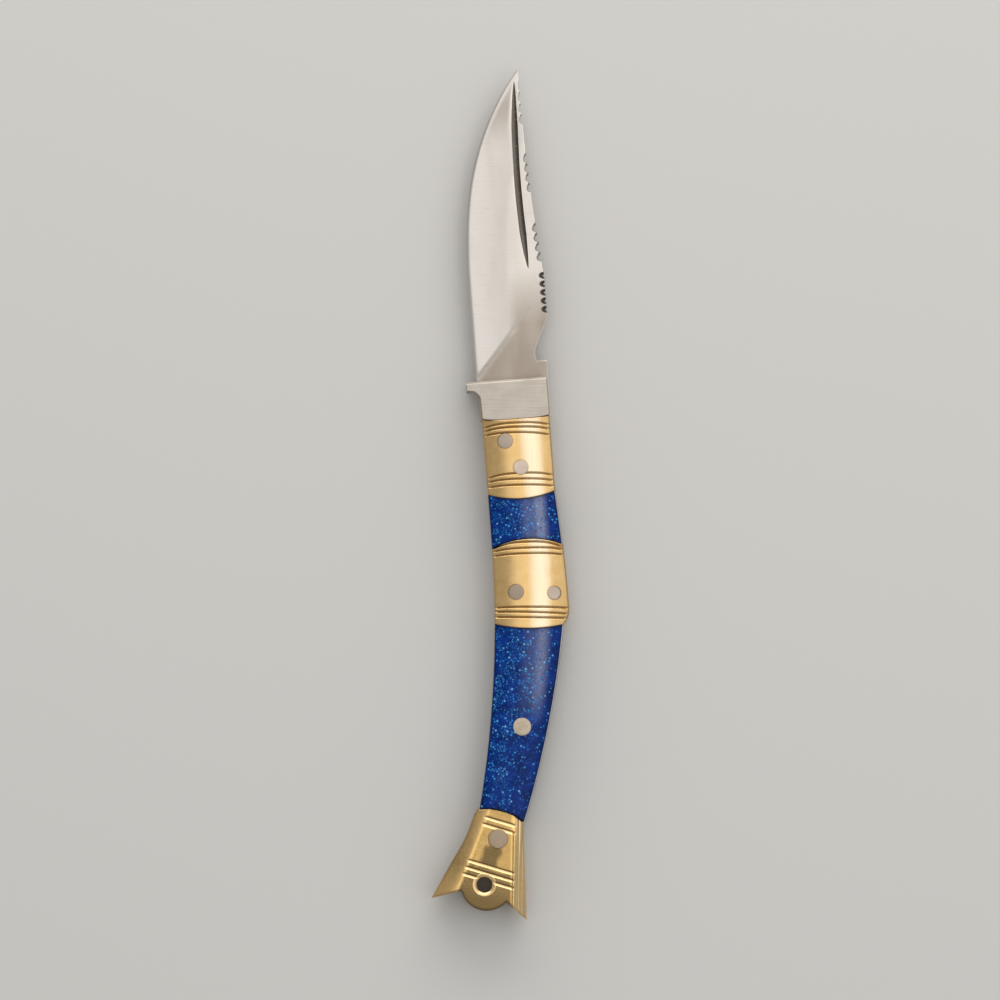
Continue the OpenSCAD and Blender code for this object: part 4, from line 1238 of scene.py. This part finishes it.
# %% Brass finish
f = Finish("brass_polished")
scratches = 0.0
for turn in (8, 63, 118, 151):
    hair = f.noise(f.stretched((0.35, 14.0, 2.0), turn), 1.0, 2.0, 0.7)
    scratches = scratches + f.ramp(hair, 0.64, 0.74)
blotch = f.noise(f.at, 0.5, 4.0, 0.6)
grain = f.noise(f.at, 5.0, 3.0, 0.6)
rubbed = f.noise(f.stretched((3.0, 0.12, 1.0), 4.4), 1.0, 3.0, 0.6)
off_painted_highlight = f.mark("across") - 0.34
tarnish_and_shade = f.ramp(f.mark("tarnish_and_shade") * (0.04 + 1.9 * grain), 0.0, 1.0)
tail_tone = f.blend(f.ramp(blotch, 0.35, 0.65), colour(233, 188, 112), colour(248, 203, 121))
tone = f.coats(
    colour(219, 178, 109),
    (f.ramp(blotch, 0.35, 0.7), colour(226, 187, 121)),
    # A painted highlight: a pale band a little towards the back of the crown's line, where the
    # strip light shows.
    (f.ramp(off_painted_highlight * off_painted_highlight - 0.1 * rubbed, -0.05, 0.09, 0.8, 0.0), colour(230, 212, 182)),
    (f.ramp(rubbed, 0.5, 0.75, 0.0, 0.3), colour(196, 161, 103)),
    (scratches * 0.05, colour(244, 224, 184)),
    # The tail's yellower tone, laid fully on its flat and faintly on its flanks, so that the flat
    # is also painted lighter, as lit.
    (f.mark("tail_tone_and_flat_light"), tail_tone),
    # The rounded rims painted darker, as shade.
    (f.mark("rim") * 0.55, colour(156, 122, 76)),
    # Dirt in the engraved lines and round the pins, and on the tail painted shade on the lines'
    # upper sides.
    (f.mark("dirt_and_shade") * 0.85, colour(101, 80, 45)),
    # Tarnished patches on the tail, and painted shade on its edge flank and along the seam.
    (tarnish_and_shade * 0.95, colour(104, 86, 54)),
    # A painted highlight on the tail lines' lower sides, and lighter paint on the hole's chamfer
    # and the back flank.
    (f.mark("fresh_and_highlight") * 0.65, colour(240, 214, 168)))
brass_finish = f.surface({
    "Base Color": tone, "Metallic": 1.0 - 0.3 * tarnish_and_shade,
    "Roughness": (0.22 + 0.1 * blotch + 0.12 * f.mark("dirt_and_shade") + 0.2 * f.mark("tarnish_and_shade")
                  + 0.04 * scratches),
    "Coat Weight": (0.5 - 0.3 * f.mark("tail_tone_and_flat_light")) * (1.0 - tarnish_and_shade),
    "Coat Roughness": 0.25, "Coat IOR": 1.9,
    "Normal": f.bump(rubbed * 0.5 - scratches * 0.2, 0.01, 0.06)})

# %% [markdown]
# ## Acrylic
# The scales are clear blue acrylic over a deep layer full of glitter. Real depth would need a
# clear solid, which is slow to render and can't be baked. So the layer is painted on the surface:
# the nodes cut it into cells at two sizes, most of them plain blue and a few a little brighter,
# under one smooth gloss. A pale streak, a painted reflection, is laid in by its mark, and the rims
# are painted darker as shade, as they look where clear plastic turns away.

# %% Acrylic finish


def blue_depth(finish):
    """The clear blue under the polish, with its painted reflection streak and its rim painted
    darker as shade.
    """
    deep = finish.noise(finish.at, 0.35, 3.0)
    speckle = finish.noise(finish.at, 2.6, 3.0, 0.7)
    return finish.coats(
        colour(2, 30, 88),
        (finish.ramp(deep, 0.3, 0.7), colour(6, 46, 126)),
        # A painted reflection streak, flecked by the speckle.
        (finish.mark("milk") * (0.2 + 1.6 * speckle), colour(122, 128, 156)),
        # The rims painted darker, as shade.
        (finish.mark("edge") * 0.6, colour(1, 16, 46)))


GLOSS = {"Roughness": 0.16, "Specular IOR Level": 0.1}
f = Finish("acrylic_glitter")
base = blue_depth(f)
fewer = f.ramp(f.mark("across"), -0.6, 0.9, 0.0, 0.1)
for finer, plain, bright in ((2.0, 0.64, colour(34, 100, 168)), (3.6, 0.6, colour(26, 84, 156))):
    cells = f.add("ShaderNodeTexVoronoi", {}, {
        "Vector": f.at, "Scale": finer, "Randomness": 1.0}, "Color")
    own = f.add("ShaderNodeSeparateColor", {}, {"Color": cells})
    flake = f.ramp(own - fewer, plain, 1.0) * f.ramp(cells.output("Distance"), 0.6, 0.05)
    base = f.blend(flake, base, bright)
acrylic_finish = f.surface({"Base Color": base, **GLOSS})

# %% Foil and white rivets
f = Finish("flake_foil")
shade = f.mark("shade")
foil_tone = f.coats(
    colour(14, 70, 150),
    (f.ramp(shade, 0.1, 0.8), colour(52, 144, 212)),
    (f.ramp(shade, 0.8, 1.0), colour(118, 190, 236)),
    (f.ramp(f.mark("out"), 0.1, 0.95), blue_depth(f)))
flake_finish = f.surface({"Base Color": foil_tone, **GLOSS})

f = Finish("white_rivet")
cloud = f.noise(f.at, 0.8, 2.0)
white_finish = f.surface({
    "Base Color": f.blend(f.ramp(cloud, 0.35, 0.65), colour(178, 161, 138), colour(194, 178, 154)),
    "Roughness": 0.3 + 0.1 * cloud, "Normal": f.bump(cloud, 0.02, 0.15)})

# %% [markdown]
# ## Pins and rivets
# Each visible end of a pin is a short turned head that stands square to the surface, with
# a barely domed face and a broken rim. The pins that go right through also have a
# straight shaft. They could be copied by hand, but pins repeat, so Geometry Nodes put one
# turned bar on every point, at that point's radius, length and facing. Pins that were
# rubbed more are marked with their wear.

# %% Trees of Geometry Nodes


class Pattern(Bench):
    """A Geometry Nodes tree with named sizes, which ends in real geometry."""

    def __init__(self, name, sizes):
        super().__init__(bpy.data.node_groups.new(name, "GeometryNodeTree"))
        face = self.tree.interface
        for way in ("INPUT", "OUTPUT"):
            face.new_socket("Geometry", in_out=way, socket_type="NodeSocketGeometry")
        for label, (kind, value) in sizes.items():
            face.new_socket(label, in_out="INPUT", socket_type=kind).default_value = value
        entry = self.tree.nodes.new("NodeGroupInput")
        self.given = {socket.name: Wire(self, socket) for socket in entry.outputs if socket.name}

    def stored(self, name, kind="FLOAT"):
        """A mark that is stored on the mesh."""
        return self.add("GeometryNodeInputNamedAttribute", {"data_type": kind}, {"Name": name})

    def end(self, geometry, finish):
        """Ends the tree: instances made real, in their finish."""
        whole = self.add("GeometryNodeRealizeInstances", {}, {0: geometry})
        done = self.add("GeometryNodeSetMaterial", {}, {0: whole, "Material": finish})
        self.add("NodeGroupOutput", {}, {0: done})
        print(self.tree.name, "has", len(self.tree.nodes), "nodes")
        return self.tree


def grown(piece, tree, sizes):
    """Runs a tree on a piece with its sizes set, and leaves a plain mesh."""
    grow = piece.modifiers.new("grow", "NODES")
    grow.node_group = tree
    for item in tree.interface.items_tree:
        if item.item_type == "SOCKET" and item.name in sizes:
            grow[item.identifier] = sizes[item.name]
    applied(piece)
    print(piece.name, len(piece.data.polygons), "faces")
    return piece


# %% Tree of a turned pin


def pin_tree(finish):
    """One turned bar on every point, with domed faces and broken rims."""
    g = Pattern("turned_pins", {
        "Dome": ("NodeSocketFloat", 0.02), "Broken rim": ("NodeSocketFloat", 0.04)})
    bar = g.add("GeometryNodeMeshCylinder", {"fill_type": "TRIANGLE_FAN"}, {
        "Vertices": 64, "Side Segments": 1, "Fill Segments": 10, "Radius": 1.0, "Depth": 1.0})
    x = g.add("ShaderNodeSeparateXYZ", {}, {0: g.add("GeometryNodeInputPosition")})
    y, z = x.output("Y"), x.output("Z")
    out = g.add("ShaderNodeMath", {"operation": "SQRT"}, {0: x * x + y * y})
    rim = g.ramp(out, 0.88, 1.0, how="LINEAR")
    fall = g.given["Dome"] * out * out + g.given["Broken rim"] * rim * rim
    sign = g.add("ShaderNodeMath", {"operation": "SIGN"}, {0: z})
    shift = g.add("ShaderNodeCombineXYZ", {}, {"Z": 0 - fall * sign})
    bar = g.add("GeometryNodeSetPosition", {}, {"Geometry": bar, "Offset": shift})
    facing = g.add("FunctionNodeAlignRotationToVector", {"axis": "Z"},
                   {"Vector": g.stored("facing", "FLOAT_VECTOR")})
    radius = g.stored("radius")
    size = g.add("ShaderNodeCombineXYZ", {}, {"X": radius, "Y": radius, "Z": g.stored("length")})
    heads = g.add("GeometryNodeInstanceOnPoints", {}, {
        "Points": g.given["Geometry"], "Instance": bar, "Rotation": facing, "Scale": size})
    return g.end(heads, finish)


# %% Points that carry the pins
POINT_MARKS = (("radius", "FLOAT", MM), ("length", "FLOAT", MM), ("facing", "FLOAT_VECTOR", 1),
               ("wear", "FLOAT", 1))
WEAR = {"pivot_pin": 0.45, "front_rivet_top": 0.0, "spring_pin": 0.25, "middle_rivet_top": 0.8,
        "tail_pin": 1.0, "scale_rivet_top": 0.0}


def point_mesh(name, points):
    """Loose points in millimetres, each with a radius, a length, a facing and its wear."""
    places = [(Vector((x + pivot[0], y + pivot[1], z)) * MM)[:] for (x, y, z), *_ in points]
    mesh = bpy.data.meshes.new(name)
    mesh.from_pydata(places, [], [])
    for column, (mark, kind, unit) in enumerate(POINT_MARKS, 1):
        layer = mesh.attributes.new(mark, kind, "POINT")
        values = np.array([point[column] for point in points], dtype=np.float32) * unit
        layer.data.foreach_set("value" if kind == "FLOAT" else "vector", values.ravel())
    return put(name, mesh)


def heads_of(node, sink=0.02, long=1.4):
    """Both heads of a pin, as points at the middle of each head."""
    at, radius, height, (nx, ny, nz) = pin_stands[node]
    reach = sink + long / 2
    return [((at[0] - nx * reach, at[1] - ny * reach, side * (height - nz * reach)),
             radius, long, (nx, ny, side * nz), WEAR[node]) for side in (1, -1)]


print("heads of the pivot pin at", np.round([head[0] for head in heads_of("pivot_pin")], 2))

# %% Heads and shafts
THROUGH = ("pivot_pin", "spring_pin", "tail_pin")
points = []
for node in PINS:
    if node != "scale_rivet_top":
        points += heads_of(node)
    if node in THROUGH:
        at, radius, *_ = pin_stands[node]
        points.append(((*at, 0), radius * 0.97, 2 * SEAT + 1.2, (0, 0, 1), 0.0))
pins = grown(point_mesh("pins_turned", points), pin_tree(pin_finish),
             {"Dome": 0.025, "Broken rim": 0.03})
white = grown(point_mesh("white_rivets", heads_of("scale_rivet_top", -0.2, 2.2)),
              pin_tree(white_finish), {"Dome": 0.07, "Broken rim": 0.04})
for piece in (pins, white):
    clean(piece, 50)

# %% [markdown]
# ## Glitter flakes
# The biggest flakes lie just under the polish and can be told apart. Painted cells alone
# look like one flat pattern, so small cuts of foil are scattered by a tree over the front
# of each scale, in clumps, with more of them towards the edge side and towards the blade.
# Each rim fades into the blue, as it does under polish.

# %% Tree of the flakes


def flake_tree(finish):
    """Seven-sided foil scattered over a piece's front, each with a shade of its own."""
    g = Pattern("foil_flakes", {
        "Flakes per square metre": ("NodeSocketFloat", 1e6),
        "Radius": ("NodeSocketFloat", 0.0003), "Seed": ("NodeSocketInt", 1)})
    along = g.add("ShaderNodeSeparateXYZ", {}, {0: g.add("GeometryNodeInputPosition")}, "Y")
    clumps = g.add("ShaderNodeTexNoise", {}, {"Scale": 420.0, "Detail": 1.0})
    thick = g.ramp(g.stored("across"), -0.8, 0.4, 1.6, 0.3, "LINEAR")
    thick = thick * g.ramp(along, 0.02, 0.05, 0.4, 1.0, "LINEAR")
    thick = thick * g.ramp(clumps, 0.4, 0.62, 0.12, 2.1, "LINEAR")
    up = g.add("ShaderNodeSeparateXYZ", {}, {0: g.add("GeometryNodeInputNormal")}, "Z")
    front = g.add("FunctionNodeCompare", {"data_type": "FLOAT", "operation": "GREATER_THAN"},
                  {0: up, 1: 0.8})
    inside = g.add("FunctionNodeCompare", {"data_type": "FLOAT", "operation": "LESS_THAN"},
                   {0: g.stored("edge"), 1: 0.5})
    spots = g.add("GeometryNodeDistributePointsOnFaces", {}, {
        "Mesh": g.given["Geometry"],
        "Selection": g.add("FunctionNodeBooleanMath", {"operation": "AND"}, {0: front, 1: inside}),
        "Density": g.given["Flakes per square metre"] * thick, "Seed": g.given["Seed"]})
    spin, size, shade = (
        g.add("FunctionNodeRandomValue", {"data_type": "FLOAT"},
              {2: low, 3: high, "Seed": seed}, 1)
        for low, high, seed in ((0.0, math.tau, 3), (0.38, 1.0, 5), (0.0, 1.0, 9)))
    spun = g.add("FunctionNodeEulerToRotation", {}, {
        0: g.add("ShaderNodeCombineXYZ", {}, {"Z": spin})})
    turn = g.add("FunctionNodeRotateRotation", {"rotation_space": "LOCAL"},
                 {0: spots.output("Rotation"), 1: spun})
    foil = g.add("GeometryNodeMeshCylinder", {"fill_type": "TRIANGLE_FAN"}, {
        "Vertices": 7, "Side Segments": 1, "Fill Segments": 1,
        "Radius": g.given["Radius"], "Depth": 0.02 * MM})
    far = g.add("ShaderNodeVectorMath", {"operation": "LENGTH"},
                {0: g.add("GeometryNodeInputPosition")}, 1)
    foil = g.add("GeometryNodeStoreNamedAttribute", {"data_type": "FLOAT", "domain": "POINT"}, {
        "Geometry": foil, "Name": "out", "Value": far / g.given["Radius"]})
    flakes = g.add("GeometryNodeInstanceOnPoints", {}, {
        "Points": spots, "Instance": foil, "Rotation": turn, "Scale": size})
    flakes = g.add("GeometryNodeStoreNamedAttribute", {
        "data_type": "FLOAT", "domain": "INSTANCE"}, {
        "Geometry": flakes, "Name": "shade", "Value": shade})
    return g.end(flakes, finish)


# %% Flakes of both scales


def flakes_on(scale_piece, name, seed):
    """Foil flakes over the front of a scale."""
    return grown(put(name, scale_piece.data.copy()), flake_tree(flake_finish), {
        "Flakes per square metre": 4.4e6, "Radius": 0.00045, "Seed": seed})


front_foil = flakes_on(front_blue, "front_foil_top", 4)
rear_foil = flakes_on(rear_blue, "rear_foil_top", 7)

# %% [markdown]
# ## Assembly
# Each dressed piece takes its finish and rides on the body that its node belongs to, in
# that node's place. The knife's back was made like its front. It could be built again,
# but a mirrored copy of each piece is sure to match.

# %% Bolsters, scales and guard


def other_side(piece, name):
    """A copy of a piece mirrored to the knife's back side, its faces still outwards."""
    twin = put(name, piece.data.copy())
    twin.data.transform(Matrix.Diagonal((1, 1, -1, 1)))
    twin.data.flip_normals()
    print(name, "mirrored")
    return twin


dressed = [
    (front_brass, "front_bolster", brass_finish, "brass"),
    (middle_brass, "middle_bolster", brass_finish, "brass"),
    (tail_brass, "tail_bolster", brass_finish, "brass"),
    (front_blue, "front_inlay", acrylic_finish, "acrylic"),
    (rear_blue, "rear_scale", acrylic_finish, "acrylic"),
    (guard_steel, "guard_bolster", guard_finish, "guard_steel"),
]
for piece, node, finish, slot in dressed:
    piece.data.materials.clear()
    piece.data.materials.append(finish)
    twin = other_side(piece, piece.name.replace("_top", "_bottom"))
    for each, side in ((piece, "_top"), (twin, "_bottom")):
        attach(each, "handle")
        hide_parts(node + side)

for piece in (front_foil, rear_foil):
    twin = other_side(piece, piece.name.replace("_top", "_bottom"))
    for each in (piece, twin):
        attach(each, "handle")

# %% Blade, pins and plates
blade_steel.data.materials.append(blade_finish)
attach(blade_steel, "blade")
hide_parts("blade")

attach(pins, "handle")
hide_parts("pivot_pin", "spring_pin", "tail_pin", "front_rivet_top", "front_rivet_bottom",
            "middle_rivet_top", "middle_rivet_bottom")
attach(white, "handle")
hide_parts("scale_rivet_top", "scale_rivet_bottom")

for node, piece in flush.items():
    finish, slot = liner_finish, "liner_steel"
    if node == "backspring":
        finish, slot = spring_finish, "spring_steel"
    piece.data.materials.clear()
    piece.data.materials.append(finish)
    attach(piece, "handle")
    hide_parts(node)

for node in ("guard_rivets_top", "guard_rivets_bottom"):
    for slot in nodes[node].material_slots:
        slot.material = pin_finish

# %% [markdown]
# ## Studio
# The knife lies on a plain pale floor. A broad soft light overhead and a long strip to the
# right give the brass its highlight and the blade its even shine. A picture of a studio
# could light it too, but plain lamps and a plain pale grey all round keep every colour
# near to how it is written.

# %% Floor and surroundings
floor_finish = Finish("floor_plain").surface({
    "Base Color": colour(206, 203, 198), "Roughness": 0.85})
FLOOR_HALF = 3
floor_z = cad_box[0][2] - 0.01 * MM
corners = [(x * FLOOR_HALF, y * FLOOR_HALF, floor_z)
           for x, y in ((-1, -1), (1, -1), (1, 1), (-1, 1))]
floor_mesh = bpy.data.meshes.new("floor")
floor_mesh.from_pydata(corners, [], [(0, 1, 2, 3)])
floor = put("floor", floor_mesh)
floor.data.materials.append(floor_finish)

world = bpy.data.worlds.new("studio")
bpy.context.scene.world = world
world.use_nodes = True
world.node_tree.nodes.clear()
w = Bench(world.node_tree)
sky = w.add("ShaderNodeBackground", {}, {"Color": (0.98, 0.99, 1.0, 1), "Strength": 0.47})
w.add("ShaderNodeOutputWorld", {}, {"Surface": sky})
print("floor at", round(floor_z / MM, 2), "mm")

# %% Lamps
# The knife lies a little turned in the picture, so up and right are its own directions.
UP = np.array([0.0767, 0.9971, 0.0])
RIGHT = np.array([0.9971, -0.0767, 0.0])
OVERHEAD = np.array([0, 0, 1.0])
MIDDLE = np.array([10.05, 85.38, 3.0])


def looking(x_way, y_way, z_way, far):
    """A place so far from the knife's middle, turned to look back at it."""
    turn = Matrix(np.stack([x_way, y_way, z_way], axis=1).tolist()).to_4x4()
    return Matrix.Translation(Vector((MIDDLE + far * z_way) * MM)) @ turn


def soft_light(name, sideways, upwards, far, size, glow, warmth=(1, 1, 1)):
    """A soft box aimed at the knife's middle.

    It stands so many degrees sideways and upwards from straight overhead. Its glow is
    what it shows in a mirror, where 1 is white.
    """
    data = bpy.data.lights.new(name, "AREA")
    data.shape = "RECTANGLE"
    data.size, data.size_y = size[0] * MM, size[1] * MM
    data.energy = glow * math.pi * data.size * data.size_y
    data.color = warmth
    turn, lift = math.radians(sideways), math.radians(upwards)
    towards = math.sin(turn) * RIGHT + math.cos(turn) * (
        math.sin(lift) * UP + math.cos(lift) * OVERHEAD)
    side = np.cross(UP, towards) / np.linalg.norm(np.cross(UP, towards))
    put(name, data).matrix_world = looking(side, np.cross(towards, side), towards, far)
    print(name, "gives", round(data.energy, 2), "W")


soft_light("key_strip", 19.8, 8, 1000, (350, 1300), 1.16, (1.0, 0.99, 0.98))
soft_light("overhead", -5, 5, 1100, (600, 1300), 0.74)
soft_light("right_side", 44, 5, 1100, (500, 1300), 0.5)
soft_light("top_side", 0, 64, 1000, (1500, 600), 2.3)

# %% [markdown]
# ## Camera
# The photograph looks almost straight down, from a little towards the tail. A flat view
# without perspective would come close, but the camera is put on that line at a distance
# that gives the photograph's mild perspective.

# %% Camera
TILT = math.radians(2.5)
FAR = 2500.0
SENSOR = 36
SEEN_WIDE = 223.4
view = math.cos(TILT) * OVERHEAD - math.sin(TILT) * UP
lens = bpy.data.cameras.new("camera")
lens.sensor_width = SENSOR
lens.lens = SENSOR * FAR / SEEN_WIDE
camera = put("camera", lens)
camera.matrix_world = looking(RIGHT, np.cross(view, RIGHT), view, FAR)
bpy.context.scene.camera = camera
bpy.context.scene.view_settings.view_transform = "Standard"
print("lens", round(lens.lens, 1), "mm")
